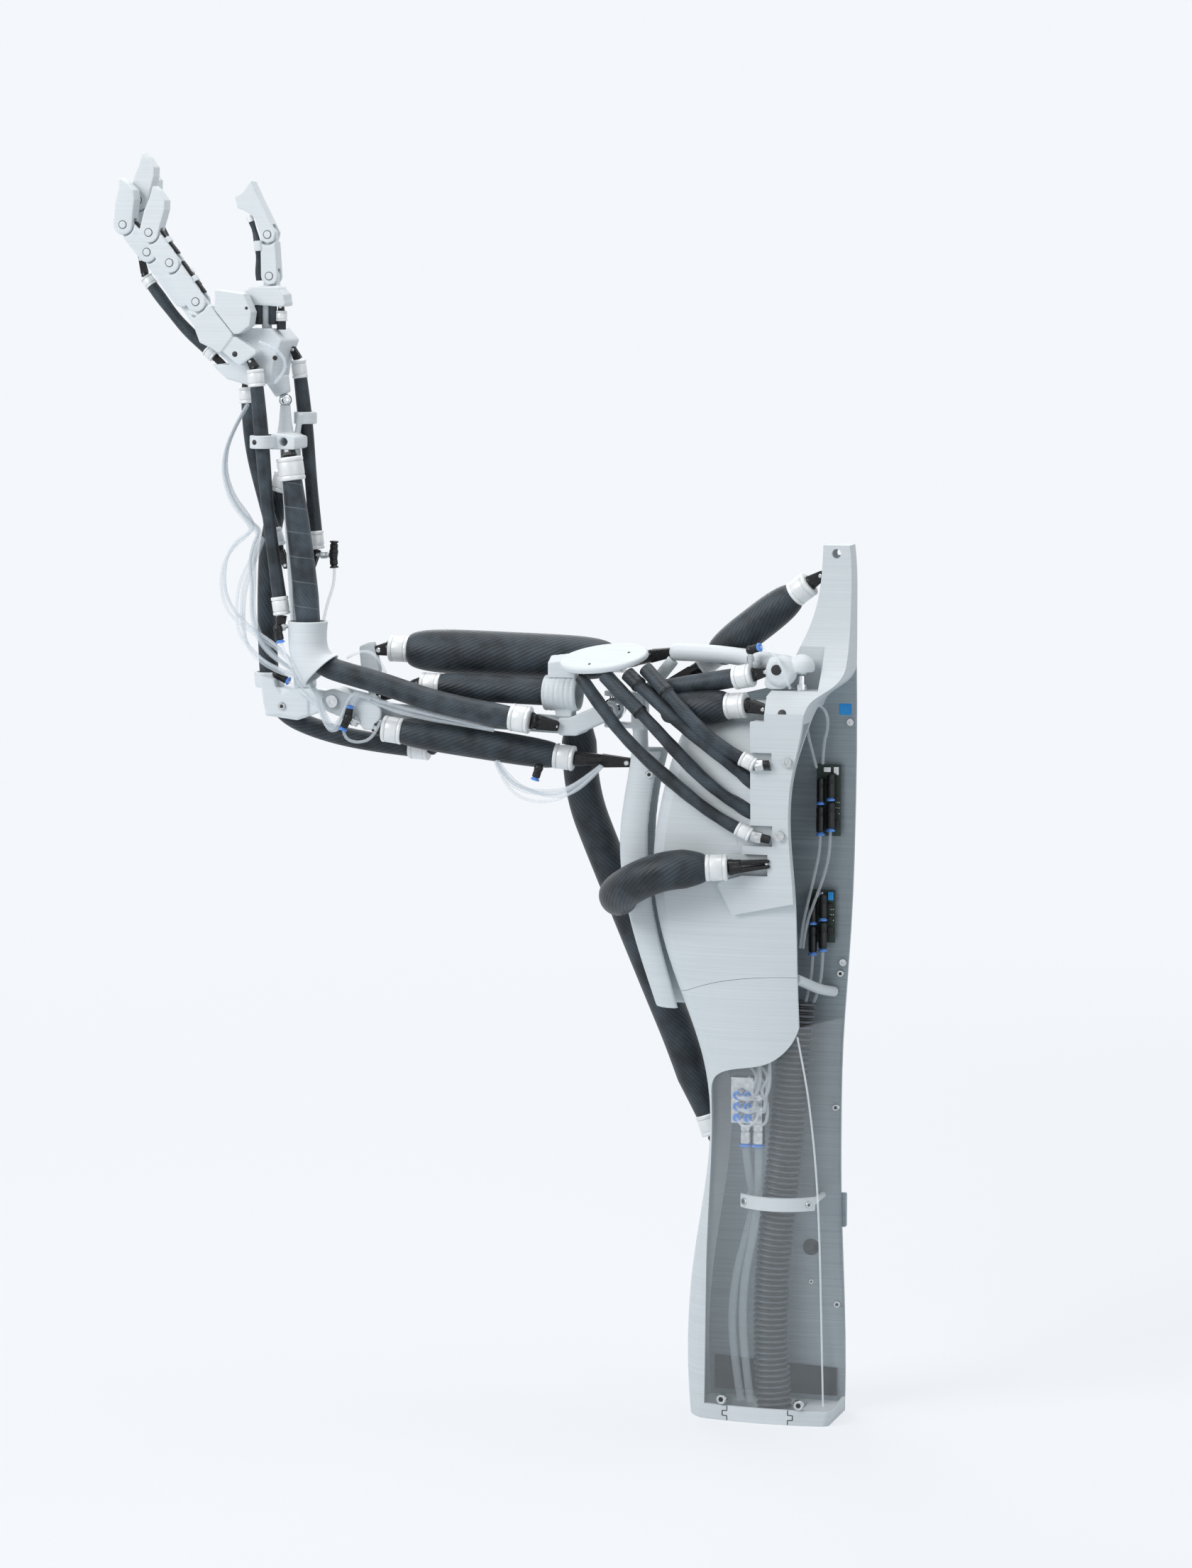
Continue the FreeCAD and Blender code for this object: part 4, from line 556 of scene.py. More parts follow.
# %% Lamps
AIM = Vector((-0.2, 0.0, 0.7))
LAMPS = [("key_left", (-2.6, -2.6, 2.9), 2.2, 116.0), ("top_bank", (0.2, 0.4, 3.4), 2.2, 58.0),
         ("fill_right", (2.9, -2.2, 1.4), 2.2, 24.0), ("rim_back", (-1.6, 2.6, 1.9), 1.6, 26.0)]
for name, spot, size, power in LAMPS:
    lamp = bpy.data.objects.new(name, bpy.data.lights.new(name, "AREA"))
    lamp.data.size = size
    lamp.data.energy = power
    lamp.location = spot
    lamp.rotation_euler = (AIM - Vector(spot)).to_track_quat("-Z", "Y").to_euler()
    bpy.context.scene.collection.objects.link(lamp)
bpy.context.scene.view_settings.view_transform = "Standard"
print("lamps", len(LAMPS))

# %% [markdown]
# ## Hose and air tubes
# The corrugated hose brings cables up from the foot, and two clear tubes bring the air. They could
# be bevelled curves, but the hose needs its rings, so its radius is a wave along the spline's line.


def cord_piece(name, route, diameter, finish, body, replaced=None, other=None, blend=None,
               rings=0.0, ring_depth=0.0, around=10):
    """Tube of one diameter along the route's spline; with rings, the radius is a rounded wave along it."""
    line = nurbs_line(route, rings / 8 * MM if rings else diameter * MM * 0.9)
    run = lengths(line)
    radius = np.full(len(line), diameter / 2 * MM)
    if rings:
        wave = np.sin(run / (rings * MM) * 2 * np.pi)
        radius = radius - ring_depth * MM * (0.5 - 0.5 * np.tanh(2.2 * wave) / np.tanh(2.2))
    made = piece(name, [tube(line, *axes_along(line), radius, around)], [finish], 60)
    if blend:
        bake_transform(made, body, other, *[tuple(np.array(p) * MM) for p in blend])
    else:
        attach(made, body)
    if replaced:
        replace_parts(made, replaced)
    return made


HOSE_ROUTE = [(9, 0, 0.5), (6, 0, 36), (4, 0, 90), (6, 0, 148), (11, 0, 200), (17, 0, 251), (22, 0, 306),
              (25, 0, 362), (30, 4, 412)]
SUPPLY_ROUTES = [
    [(-19, -11, 268.2), (-17, -9, 244), (-11.5, -5, 214), (-19, -9, 178), (-28, -13, 142), (-32, -14, 100),
     (-29, -14, 58), (-22, -14, 16)],
    [(-6, -11, 268.2), (-5, -14, 246), (-5, -17, 216), (-10, -18, 178), (-18, -17, 142), (-21, -15, 100),
     (-18, -15, 58), (-12, -16, 16)]]
hose = cord_piece("corrugated_cable_hose", HOSE_ROUTE, 35.0, hose_black, "torso", "corrugated_hose",
                  rings=RING_MM, ring_depth=3.0, around=40)
for k, route in enumerate(SUPPLY_ROUTES):
    made = cord_piece(f"supply_tube_{k}", route, 8.0, supply_clear, "torso", "supply_tubes", around=16)
print("hose and supply tubes")

# %% [markdown]
# ## Solids that keep their shape
# The big shells and plates are right as they come, so they only get their finishes. The bones, the
# hand and the elbow come with knife-sharp edges, which sintered parts don't have. A bevel trips over
# their many small faces, so a merged copy is cut into even cells and relaxed, which rounds its edges.

# %% Finishes on the shells
DRESS = [(nylon, "chest_shell waist_shell cross_strut"), (nylon_pale, "base_foot hose_strap"),
         (spine_metal, "spine_plate"), (acrylic, "window"), (nickel, "air_manifold torso_screws"),
         (board_green, "valve_boards"), (steel, "sternum_stud shoulder_ball wrist_ball elbow_axle")]
for finish, names in DRESS:
    for name in names.split():
        nodes[name].data.materials.clear()
        nodes[name].data.materials.append(finish)
print("shells dressed")


# %% Rounded bones and links
def softened(name, cell_mm, rounds, finish, added):
    """Copy of a solid, with the added grids, in even cells, which makes them one; each point is then drawn
    halfway to its neighbours' mean a few times."""
    copy = nodes[name].data.copy()
    work = bmesh.new()
    work.from_mesh(copy)
    bmesh.ops.remove_doubles(work, verts=work.verts, dist=2e-6)
    for points, quads, tris, _, _ in added:
        lump = bpy.data.meshes.new("lump")
        lump.from_pydata(points, [], quads.tolist() + tris.tolist())
        facing_out = bmesh.new()
        facing_out.from_mesh(lump)
        bmesh.ops.recalc_face_normals(facing_out, faces=facing_out.faces)
        facing_out.to_mesh(lump)
        facing_out.free()
        work.from_mesh(lump)
        bpy.data.meshes.remove(lump)
    work.to_mesh(copy)
    work.free()
    made = bpy.data.objects.new(f"{name}_sintered", copy)
    bpy.context.scene.collection.objects.link(made)
    cells = made.modifiers.new("cells", "REMESH")
    cells.mode = "VOXEL"
    cells.voxel_size = cell_mm * MM
    relax = made.modifiers.new("relax", "SMOOTH")
    relax.factor = 0.5
    relax.iterations = rounds
    made.data = bpy.data.meshes.new_from_object(made.evaluated_get(bpy.context.evaluated_depsgraph_get()))
    made.modifiers.clear()
    made.data.materials.clear()
    made.data.materials.append(finish)
    made.data.polygons.foreach_set("use_smooth", np.ones(len(made.data.polygons), bool))
    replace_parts(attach(made, body_of(nodes[name])[0]), name)
    return len(made.data.polygons)


LINKS = [f"{f}_{p}" for f in ("little", "ring", "middle", "index") for p in ("proximal", "middle", "tip")]
LINKS += ["thumb_proximal", "thumb_tip", "palm_cover", "wrist_bracket"]
THUMB_SADDLE = [(-522, 1103), (-494, 1103.4), (-485.5, 1095), (-484.6, 1083.5), (-493, 1085), (-522, 1085.3),
                (-531, 1096)]
YOKE_FRONT = [(-518.9, 718.5), (-503.2, 714.6), (-501.5, 705.5), (-495.9, 700.7), (-488.4, 705.8),
              (-473.6, 699.9), (-466.2, 695.1), (-466.3, 679.5), (-479.0, 675.6), (-496.8, 679.0),
              (-511.8, 677.2), (-515.4, 690.9)]
COLLAR_LUG = turned((18, -10, 737.5), (19, -34, 737.5),
                    [(0, 12.5), (0.1, 15), (0.76, 15.4), (0.9, 14.2), (1, 11.2)], 48)
SOFT = [(["thumb_base"], 0.7, 5, nylon_pale, [slab(THUMB_SADDLE, -21.5, 1.5)]),
        (LINKS, 0.7, 5, nylon_pale, []),
        (["palm", "elbow_funnel"], 0.9, 6, nylon_pale, []),
        (["deltoid_cap"], 0.8, 3, nylon_pale, []),
        (["elbow_yoke"], 0.9, 8, nylon_pale, [slab(YOKE_FRONT, -11.5, 12.5)]),
        (["clavicle"], 0.9, 7, nylon_pale, [COLLAR_LUG]),
        (["scapula", "humerus", "muscle_sleeve", "forearm_bone"], 1.1, 5, nylon, [])]
print("softened faces", sum(softened(name, *how) for names, *how in SOFT for name in names))

# %% [markdown]
# ## Air muscles
# A muscle is fat where it is free and thin in its end sleeves. It could be one bent tube, but it
# crosses joints, so its line is cut into lengths that each bend across one joint and meet end to end.
# A route of two points is a straight muscle.

# %% Routes
ROUTES = {
    "pectoral_1": [(-182.5, -25.5, 726.5), (-160, -34, 700), (-130, -42, 666), (-75, -52, 623),
                   (-38, -53, 597), (-18, -52, 587)],
    "pectoral_2": [(-156.5, -28.5, 729), (-140, -35, 714), (-116, -42, 694), (-66, -52, 646),
                   (-38, -51.5, 622), (-16, -45, 607), (4, -36, 595)],
    "pectoral_3": [(-134, -29.5, 731.3), (-112, -38, 714), (-82, -47, 690), (-44, -51, 663), (-28, -49, 650),
                   (-12, -43.5, 636), (4, -36, 622)],
    "pectoral_4": [(-116, -28.5, 736.5), (-106, -34, 728), (-88, -43, 713), (-58, -51, 683), (-32, -52, 664),
                   (-14, -52, 655)],
    "latissimus": [(-203, 40, 676), (-204, 44, 640), (-198, 46, 595), (-182, 46, 555), (-152, 46, 485),
                   (-122.5, 46, 416), (-92, 46, 346), (-72, 46, 288)],
    "serratus": [(-46, -62, 549), (-74, -67, 548), (-100, -66, 541), (-122, -57, 530), (-137, -42, 520),
                 (-144, -29.6, 514), (-145.7, -17.9, 511.5)],
    "trapezius": [(21, 18, 808), (-60, 27, 746)],
    "chest_front": [(-34, -28, 702.5), (-100, -20, 696.5)],
    "subclavian": [(-27, -25, 730), (-118, -12, 712.5)],
    "deltoid": [(-372, 18, 745), (-165, 31, 739)],
    "brachialis": [(-333, -2, 712), (-200, -2, 708)],
    "underarm": [(-370, -11, 666.5), (-215, -1, 646)],
    "biceps": [(-252, -27, 685.5), (-288, -27, 690.5), (-336, -27, 700), (-385, -26.8, 715),
               (-420, -26.7, 723.5), (-441, -26.7, 729.3), (-452, -26.7, 737.3), (-458.5, -26.7, 751),
               (-461.5, -26.7, 775), (-464.5, -26.5, 810), (-470, -25.5, 855), (-478, -24, 914)],
    "triceps": [(-508, 28, 900), (-522, 30, 852), (-524, 28, 795), (-522, 24, 742), (-519.5, 24, 703),
                (-506, 24, 677), (-472, 25, 662), (-420, 25, 651), (-372, 25, 647)],
    "wrist_front": [(-511, -33, 1006), (-508, -33, 975), (-505.5, -33, 944), (-500, -33, 874),
                    (-489, -33, 798)],
    "wrist_back": [(-535, 8, 988), (-532.5, 8, 950), (-523, 7, 905), (-509, 6, 862)],
    "wrist_side": [(-483, 17, 1013), (-478.5, 17, 975), (-474, 17, 930), (-468.5, 17, 860)],
    "hand_back": [(-640, 20, 1103), (-622.5, 20, 1080), (-602, 20, 1057), (-581.6, 20, 1039)],
    "thenar": [(-493, -10, 1060.5), (-493, -10, 1069.8)],
    "thumb": [(-513.6, -16, 1108.5), (-514.4, -16, 1124.9), (-514.1, -16, 1138), (-516.9, -15, 1152.7),
              (-521.2, -14, 1165), (-524.5, -13, 1171)]}
print("muscle routes", len(ROUTES))


# %% Muscle shapes
HELD_SHARE = 0.06       # of a bending length, at each end, that follows one body alone


def belly(count, end_r, full_r, power=4.0, lean=0.0):
    """Radius along a straight muscle: from the end radius to the full one by the root of one minus a power.
    A lean moves the fattest place towards the start."""
    share = np.linspace(0, 1, count) ** (1 / (1 + lean)) * 2 - 1
    return end_r + (full_r - end_r) * np.sqrt(np.maximum(0, 1 - np.abs(share) ** power))


def muscle(name, line, radius, finishes, spans, replaced, around=32, band=None):
    """Tube along the line, of a radius in mm, cut where its spans meet: (share from, share to, body, next
    body or None). A band is the share from and to which the second finish covers."""
    run = lengths(line)
    share = run / run[-1]
    side, up = axes_along(line)
    for k, (low, high, body, other) in enumerate(spans):
        inner = (share > low + 1e-6) & (share < high - 1e-6)
        at = np.concatenate([[low], share[inner], [high]])
        cut = [resample(at, share, rows) for rows in (line, side, up)]
        points, quads, tris, uv, slot = tube(*cut, np.interp(at, share, radius * MM), around)
        uv[:quads.size, 1] += low * run[-1]
        if band:
            middle = (at[:-1] + at[1:]) / 2
            covered = np.repeat((middle > band[0]) & (middle < band[1]), around).astype(int)
            slot = np.concatenate([covered, np.zeros(len(tris), int)])
        title = f"{name}_{k}" if len(spans) > 1 else name
        made = piece(title, [(points, quads, tris, uv, slot)], finishes, 50)
        if other:
            margin = HELD_SHARE * (high - low)
            ends = [tuple(resample(t, share, line)) for t in (low + margin, high - margin)]
            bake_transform(made, body, other, *ends)
        else:
            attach(made, body)
        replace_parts(made, *replaced)


def over_shoulder(first, second):
    """Spans from the upper arm over the shoulder's two crossed axes to the blade, and on to the torso."""
    spans = [(0, first, "upper_arm", "shoulder_cross"), (first, second, "shoulder_cross", "shoulder_blade"),
             (second, 1, "shoulder_blade", "torso")]
    return [span for span in spans if span[0] < 1]


# %% [markdown]
# ### Chest muscles
# Four thin muscles run from the shoulder's cap to the chest. Three have a short outer hose at the
# top that ends in a black rubber band, so their radius steps down there.

# %% Pectoral muscles
BAND_AT = [None, (-116.3, 694.5), (-121.0, 720.5), (-91.5, 713.2)]
BAND_LONG = 3.5
for k, at in enumerate(BAND_AT):
    line = nurbs_line(ROUTES[f"pectoral_{k + 1}"], 1.5 * MM)
    run = lengths(line) / MM
    thick = 6.2 + 0.35 * np.sin(run / 17 + k) + 0.12 * np.sin(run / 4.1 + 2 * k)
    band = None
    if at:
        end = run[np.argmin(np.hypot(line[:, 0] / MM - at[0], line[:, 2] / MM - at[1]))]
        thick += 1.0 * (run < end - BAND_LONG) + 1.5 * ((run >= end - BAND_LONG) & (run <= end))
        band = ((end - BAND_LONG) / run[-1], end / run[-1])
    muscle(f"pectoral_muscle_{k + 1}", line, thick, [smooth_hose, rubber_black], over_shoulder(0.24, 0.45),
           ["pectoral_muscles"], 24, band)
print("pectoral muscles", len(BAND_AT))

# %% Side and shoulder muscles
line = nurbs_line(ROUTES["latissimus"], 4 * MM)
thick = np.interp(np.linspace(0, 1, len(line)), [0, 0.05, 0.9, 1], [12.5, 17.4, 17.4, 11.5])
muscle("latissimus_muscle", line, thick, [ribbed_hose], over_shoulder(0.12, 0.27), ["latissimus_muscle"])
GIRDLE_SPAN = [(0, 1, "torso", "shoulder_blade")]
line = nurbs_line(ROUTES["serratus"], 2 * MM)
swell = np.sqrt(np.clip(lengths(line) / (22 * MM), 0, 1))
muscle("serratus_muscle", line, 11.0 + 8.0 * swell, [ribbed_hose], GIRDLE_SPAN, ["girdle_muscles"], 40)
SHORT_FAT = {"trapezius": belly(60, 10.5, 18.0, 3.0), "chest_front": belly(60, 10.5, 16.5, 2.4, 0.35)}
for name, thick in SHORT_FAT.items():
    muscle(f"{name}_muscle", straight(*ROUTES[name]), thick, [ribbed_hose], GIRDLE_SPAN,
           ["girdle_muscles"], 40)
muscle("subclavian_muscle", straight(*ROUTES["subclavian"]), belly(60, 9.0, 9.6), [smooth_hose],
       [(0, 1, "shoulder_blade", None)], ["girdle_muscles"])
print("side and shoulder muscles")

# %% Upper arm muscles
UPPER_ARM = [("deltoid", 120, (12.0, 22.3, 5.0), over_shoulder(0.62, 1), 44),
             ("brachialis", 60, (11.0, 13.6), [(0, 1, "upper_arm", None)], 32),
             ("underarm", 90, (11.0, 15.0), over_shoulder(0.5, 1), 32)]
for name, count, shape, spans, around in UPPER_ARM:
    muscle(f"{name}_muscle", straight(*ROUTES[name], count), belly(count, *shape), [ribbed_hose], spans,
           ["upper_arm_muscles"], around)
line = nurbs_line(ROUTES["biceps"], 3 * MM)
run = lengths(line)
ELBOW_BEND = np.array(ROUTES["biceps"][7]) * MM
elbow_at = run[np.argmin(np.abs(line - ELBOW_BEND).sum(1))] / run[-1]
fat = np.interp(run / run[-1], [0, 0.04, 0.2, elbow_at, 0.7, 0.9, 1],
                [10.2, 11.0, 11.0, 11.0, 12.6, 11.6, 9.7])
muscle("biceps_muscle", line, fat, [smooth_hose],
       [(0, 0.34, "upper_arm", None), (0.34, elbow_at - 0.03, "upper_arm", "forearm")], ["elbow_muscles"])
muscle("biceps_forearm", line, fat, [wrapped_hose], [(elbow_at - 0.03, 1, "forearm", None)],
       ["elbow_muscles"])
line = nurbs_line(ROUTES["triceps"], 3 * MM)
muscle("triceps_muscle", line, np.full(len(line), 9.6), [ribbed_hose],
       [(0, 0.56, "forearm", None), (0.56, 0.86, "forearm", "upper_arm"), (0.86, 1, "upper_arm", None)],
       ["elbow_muscles"])
print("upper arm muscles")

# %% [markdown]
# ### Wrist and hand muscles
# Thin hoses are never quite even, so their radius waves a little along them. The end of the muscle on
# the back of the hand follows the finger that it pulls.

# %% Wrist and hand muscles
WRIST_SPANS = [(0, 0.12, "hand", "wrist_cross"), (0.12, 0.24, "wrist_cross", "forearm"),
               (0.24, 1, "forearm", None)]
HAND_SPANS = [(0, 0.24, "middle_proximal", None), (0.24, 0.9, "middle_proximal", "hand"),
              (0.9, 1, "hand", None)]
THUMB_SPANS = [(0, 0.5, "thumb_proximal", None), (0.5, 1, "thumb_proximal", "thumb_tip")]


def wavy_muscle(name, step, radius, wave, turns, *rest):
    """Thin hose along its route: the radius is a mean plus a sine of the share of the length."""
    line = nurbs_line(ROUTES[name], step * MM)
    muscle(f"{name}_muscle", line, radius + wave * np.sin(np.linspace(0, 1, len(line)) * turns), *rest)


for name in ("wrist_front", "wrist_back", "wrist_side"):
    wavy_muscle(name, 3, 6.7, 0.5, 7, [smooth_hose], WRIST_SPANS, ["wrist_muscles"], 24)
wavy_muscle("hand_back", 2, 5.6, 0.3, 11, [smooth_hose], HAND_SPANS, ["hand_muscles"], 20)
muscle("thenar_muscle", straight(*ROUTES["thenar"], 8), np.full(8, 4.6), [smooth_hose],
       [(0, 1, "hand", None)], ["hand_muscles"], 20)
ROD = [(0, 3.4), (0.04, 4.2), (1, 4.2)]
rods = [turned((x, -13, 1065.5), (x, -13, 1087), ROD, 24) for x in (-515.4, -500.8)]
riding("thumb_base_rods", rods, [smooth_hose], "thumb_base")
wavy_muscle("thumb", 1.5, 3.0, 0.5, 14, [smooth_hose, ferrule_alloy], THUMB_SPANS, [], 16, (0.9, 1))
print("wrist and hand muscles")

# %% [markdown]
# ## End sleeves and forks
# Each muscle end is crimped into a pale sleeve that screws to a black fork, and a pin holds the fork
# to what it pulls. The sleeve is turned, with a rolled lip and pressed seams; the fork is a turned
# collar with two thick cheeks, on a round shaft where it has far to reach.


# %% Sleeves and forks
SLEEVE = [(0, -2.6), (0, -0.6), (0.02, -0.1), (0.05, 0.2), (0.15, 0.2), (0.18, -0.1), (0.19, -0.9),
          (0.215, -0.9), (0.225, -0.3), (0.25, -0.1), (0.74, -0.1), (0.77, -0.3), (0.78, -0.9),
          (0.805, -0.9), (0.815, -0.2), (0.85, 0.1), (0.94, 0.1), (0.98, -0.5), (1, -1.6), (1, -4.4)]


def end_sleeve(a, b, radius):
    """Turned sleeve: rolled lip at the muscle, a groove, the crimped barrel, a groove, and a second lip."""
    return turned(a, b, [(share, radius + more) for share, more in SLEEVE], 56, 0, 0.35)


def end_fork(a, b, radius, tongue, open_front):
    """Fork: a turned collar, a shaft if the eye is far, two cheeks that close in on the eye at b, and its
    pin. The cheeks stand one behind the other, or one over the other if the fork opens to the front."""
    a, b = arrays(a, b)
    long = np.linalg.norm(b - a)
    axis = unit(b - a)
    helper = np.array([0.0, 1, 0]) if abs(axis[1]) < 0.8 else np.array([1.0, 0, 0])
    side = unit(np.cross(helper, axis)) if open_front else unit(helper - axis * (helper @ axis))
    r, w = radius, max(tongue, 3.0)
    neck = a + axis * max(0.3 * long, long - 24.0)
    parts = [turned(a, neck, [(0, r - 0.9), (0.04, r), (0.3, r), (0.45, r * 0.9), (1, r * 0.82)], 32)]
    for turn in (-1, 1):
        start, tip = neck - axis * 2 + side * turn * r * 0.42, b + axis * w * 0.8 + side * turn * w * 0.62
        parts.append(bar(start, tip, r * 1.7, r * 0.62, r * 0.2, r * 0.1, side, 0, 0.66))
    parts.append(turned(b - side * w * 1.2, b + side * w * 1.2,
                        [(0, w * 0.36), (0.06, w * 0.5), (0.94, w * 0.5), (1, w * 0.36)], 18, 1))
    return parts


def hex_end(a, b, radius):
    """Small sleeve's end: a nickel hexagon nut and the black stub that goes into the panel."""
    a, b = arrays(a, b)
    nut = a + (b - a) * min(0.62, 11 / np.linalg.norm(b - a))
    return [turned(a, nut, [(0, radius * 0.84), (0.08, radius), (0.92, radius), (1, radius * 0.84)], 6, 1),
            turned(nut, b, [(0, radius * 0.72), (0.9, radius * 0.72), (1, radius * 0.6)], 20, 0)]


# %% [markdown]
# Each row below is a muscle and which end of its route, 0 or -1, then the place of the eye, the
# sleeve's radius and length, and the width of the tongue in the fork. The rows of NUT_ENDS have only
# the place: they are the two thin muscles that screw into the chest.

# %% Where the ends sit
ENDS = {
    "torso": [
        ("trapezius", 0, (46.8, 17, 826.6), 12.6, 19, 4.2),
        ("chest_front", 0, (4, -35, 701), 12.6, 19, 4.2),
        ("serratus", 0, (9.5, -47.6, 553), 12.8, 20, 4.0),
        ("latissimus", -1, (-42, 40.3, 232), 12.6, 20, 3.6)],
    "blade": [
        ("subclavian", 0, (2, -25, 736), 11.5, 18, 4.2),
        ("underarm", -1, (-143.5, 4, 641), 12.4, 19, 5.0),
        ("deltoid", -1, (-99.5, 20.4, 749), 12.6, 12, 4.0),
        ("trapezius", -1, (-106, 18, 718), 11.5, 18, 4.0)],
    "upper_arm": [
        ("deltoid", 0, (-402, 14, 744), 12.9, 19, 5.0),
        ("brachialis", 0, (-395.5, 0, 699), 12.0, 19, 4.0),
        ("biceps", 0, (-211, -14.5, 677), 13.4, 19, 3.4),
        ("underarm", 0, (-395.5, -12, 670), 13.0, 19, 5.0),
        ("triceps", -1, (-321, 11, 670.5), 11.4, 19, 3.6)],
    "forearm": [
        ("biceps", -1, (-482.5, -23, 942), 13.2, 22, 5.0),
        ("wrist_front", -1, (-488, -34, 768), 8.4, 17, 3.6),
        ("wrist_back", -1, (-494.6, 4, 827), 8.4, 17, 3.6),
        ("wrist_side", -1, (-471, 12.5, 824), 8.0, 17, 3.2),
        ("triceps", 0, (-496, 13, 932), 11.0, 18, 3.6)],
    "hand": [
        ("wrist_front", 0, (-517, -33, 1030), 8.4, 16, 3.2),
        ("wrist_back", 0, (-536.6, 8, 1008), 8.4, 15, 3.2),
        ("wrist_side", 0, (-490, 17, 1040), 7.6, 17, 3.2),
        ("hand_back", -1, (-560, 20, 1020), 6.6, 10, 4.0),
        ("thenar", -1, (-493, -10, 1082.5), 6.0, 9, 3.0)],
    "finger_pull": [
        ("hand_back", 0, (-650, 19, 1129), 6.6, 10, 4.0)]}
NUT_ENDS = {"torso": [("pectoral_1", -1, (14, -52, 577)), ("pectoral_4", -1, (13, -52, 650))]}
CARRIER = {"blade": "shoulder_blade", "finger_pull": "middle_proximal"}
GAP, LAP = 0.3, 1.2      # between sleeve and fork; of the sleeve over the muscle
NUT_LONG, NUT_SLEEVE, NUT_RADIUS = 14, 7.2, 5.8


def sleeve_line(name, which, length):
    """Where a sleeve starts and stops and its fork begins, in line with the muscle's last stretch."""
    route = ROUTES[name]
    inner, end = arrays(route[1] if which == 0 else route[-2], route[which])
    axis = unit(end - inner)
    joint = end + axis * (GAP + length)
    return end + axis * (GAP - LAP), joint, joint + axis * GAP


for group, ends in ENDS.items():
    sleeves, forks = [], []
    for name, which, target, radius, length, tongue in ends:
        start, joint, root = sleeve_line(name, which, length)
        sleeves.append(end_sleeve(start, joint, radius))
        forks += end_fork(root, target, radius * 0.62, tongue, name == "serratus")
    for name, which, target in NUT_ENDS.get(group, []):
        start, joint, root = sleeve_line(name, which, NUT_LONG)
        sleeves.append(end_sleeve(start, joint, NUT_SLEEVE))
        forks += hex_end(root, target, NUT_RADIUS)
    body = CARRIER.get(group, group)
    sleeves = riding(f"{group}_end_sleeves", sleeves, [ferrule_alloy], body)
    forks = riding(f"{group}_end_forks", forks, [fork_black, nickel], body)
    if f"{group}_ferrules" in nodes:
        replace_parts(sleeves, f"{group}_ferrules")
        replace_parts(forks, f"{group}_forks")
print("end sleeves and forks", {k: len(v) for k, v in ENDS.items()})

# %% [markdown]
# ## Push-in fittings
# Air tubes plug into fittings: a barrel and a blue release ring round its mouth. Those under the
# manifold are nickelled brass, those on the boards and the arm black nylon on a nickelled stem.


# %% Fittings on the torso
def push_in(a, b, radius, slot=0, ring=2):
    """Fitting from a to its mouth b: a turned body, a neck, and the blue release ring with its bore."""
    a, b = arrays(a, b)
    r, cut = radius, 3.0 / np.linalg.norm(b - a)
    body = [(0, r * 0.55), (0.03, r * 0.85), (0.08, r), (0.3, r), (0.32, r * 0.92), (0.36, r * 0.92),
            (0.38, r), (1 - cut * 1.2, r), (1 - cut, r * 0.8)]
    mouth = [(0, r * 0.78), (0.34, r * 0.78), (0.36, r), (0.5, r * 1.08), (0.9, r * 1.08), (1, r * 0.98),
             (1, r * 0.62), (0.7, r * 0.58)]
    return [turned(a, b, body, 24, slot), turned(a + (b - a) * (1 - cut), b, mouth, 28, ring)]


BOARD_FACE = 24.4
BOARDS = [(42.0, 66.0, 573.0, 643.0), (35.0, 61.0, 468.0, 520.0)]      # x from and to, z from and to
COLUMN_Y = BOARD_FACE - 9
# Each valve is x, z and which of its board's two columns it stands in; each port is x and z.
VALVES = [(x0 + 6 + 10 * m, z0 + (z1 - z0) * 0.72, m) for x0, _, z0, z1 in BOARDS for m in (0, 1)]
PORTS = [(x, z) for z in (322, 311, 300) for x in (-24, -13)]
VALVE_FOOT = [(0, 3.4), (0.9, 3.4), (1, 2.6)]
FITTING_SET = [fitting_black, nickel, ring_blue]
parts = []
for x in (-19, -6):
    parts += push_in((x, -11, 293), (x, -11, 269), 6.2, 1)
for x, z in sorted(PORTS):
    parts += push_in((x, -18, z), (x, -28, z), 3.9, 1)
for x, z, m in VALVES:
    top = z + 3 + 4 * m
    parts.append(turned((x, BOARD_FACE, top), (x, COLUMN_Y - 2, top), VALVE_FOOT, 16, 0))
    parts += push_in((x, COLUMN_Y, top + 4), (x, COLUMN_Y, top - 22), 3.8, 0)
    parts += push_in((x, COLUMN_Y, top - 23), (x, COLUMN_Y, top - 52), 4.1, 0)
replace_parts(riding("push_in_fittings", parts, FITTING_SET, "torso"), "torso_fittings")
print("torso fittings", len(parts))


# %% Fittings on the arm
ELBOW_RADIUS = 4.0


def elbow_fitting(stem, corner, mouth, ring=2):
    """Angled fitting: a nickel stem with a hexagon, a round knuckle, and a push-in barrel to the mouth."""
    stem, corner, mouth = arrays(stem, corner, mouth)
    r, axis = ELBOW_RADIUS, unit(mouth - corner)
    turn = np.linspace(0, np.pi, 9)
    ball = np.stack([(1 - np.cos(turn)) / 2, r * 1.15 * np.maximum(np.sin(turn), 0.05)], 1)
    stalk = [(0, r * 0.6), (0.3, r * 0.6), (0.31, r * 0.95), (0.62, r * 0.95), (0.63, r * 0.7), (1, r * 0.7)]
    return [turned(stem, corner, stalk, 6, 1),
            turned(corner - axis * r * 1.15, corner + axis * r * 1.15, ball, 20, 0),
            *push_in(corner, mouth, r, 0, ring)]


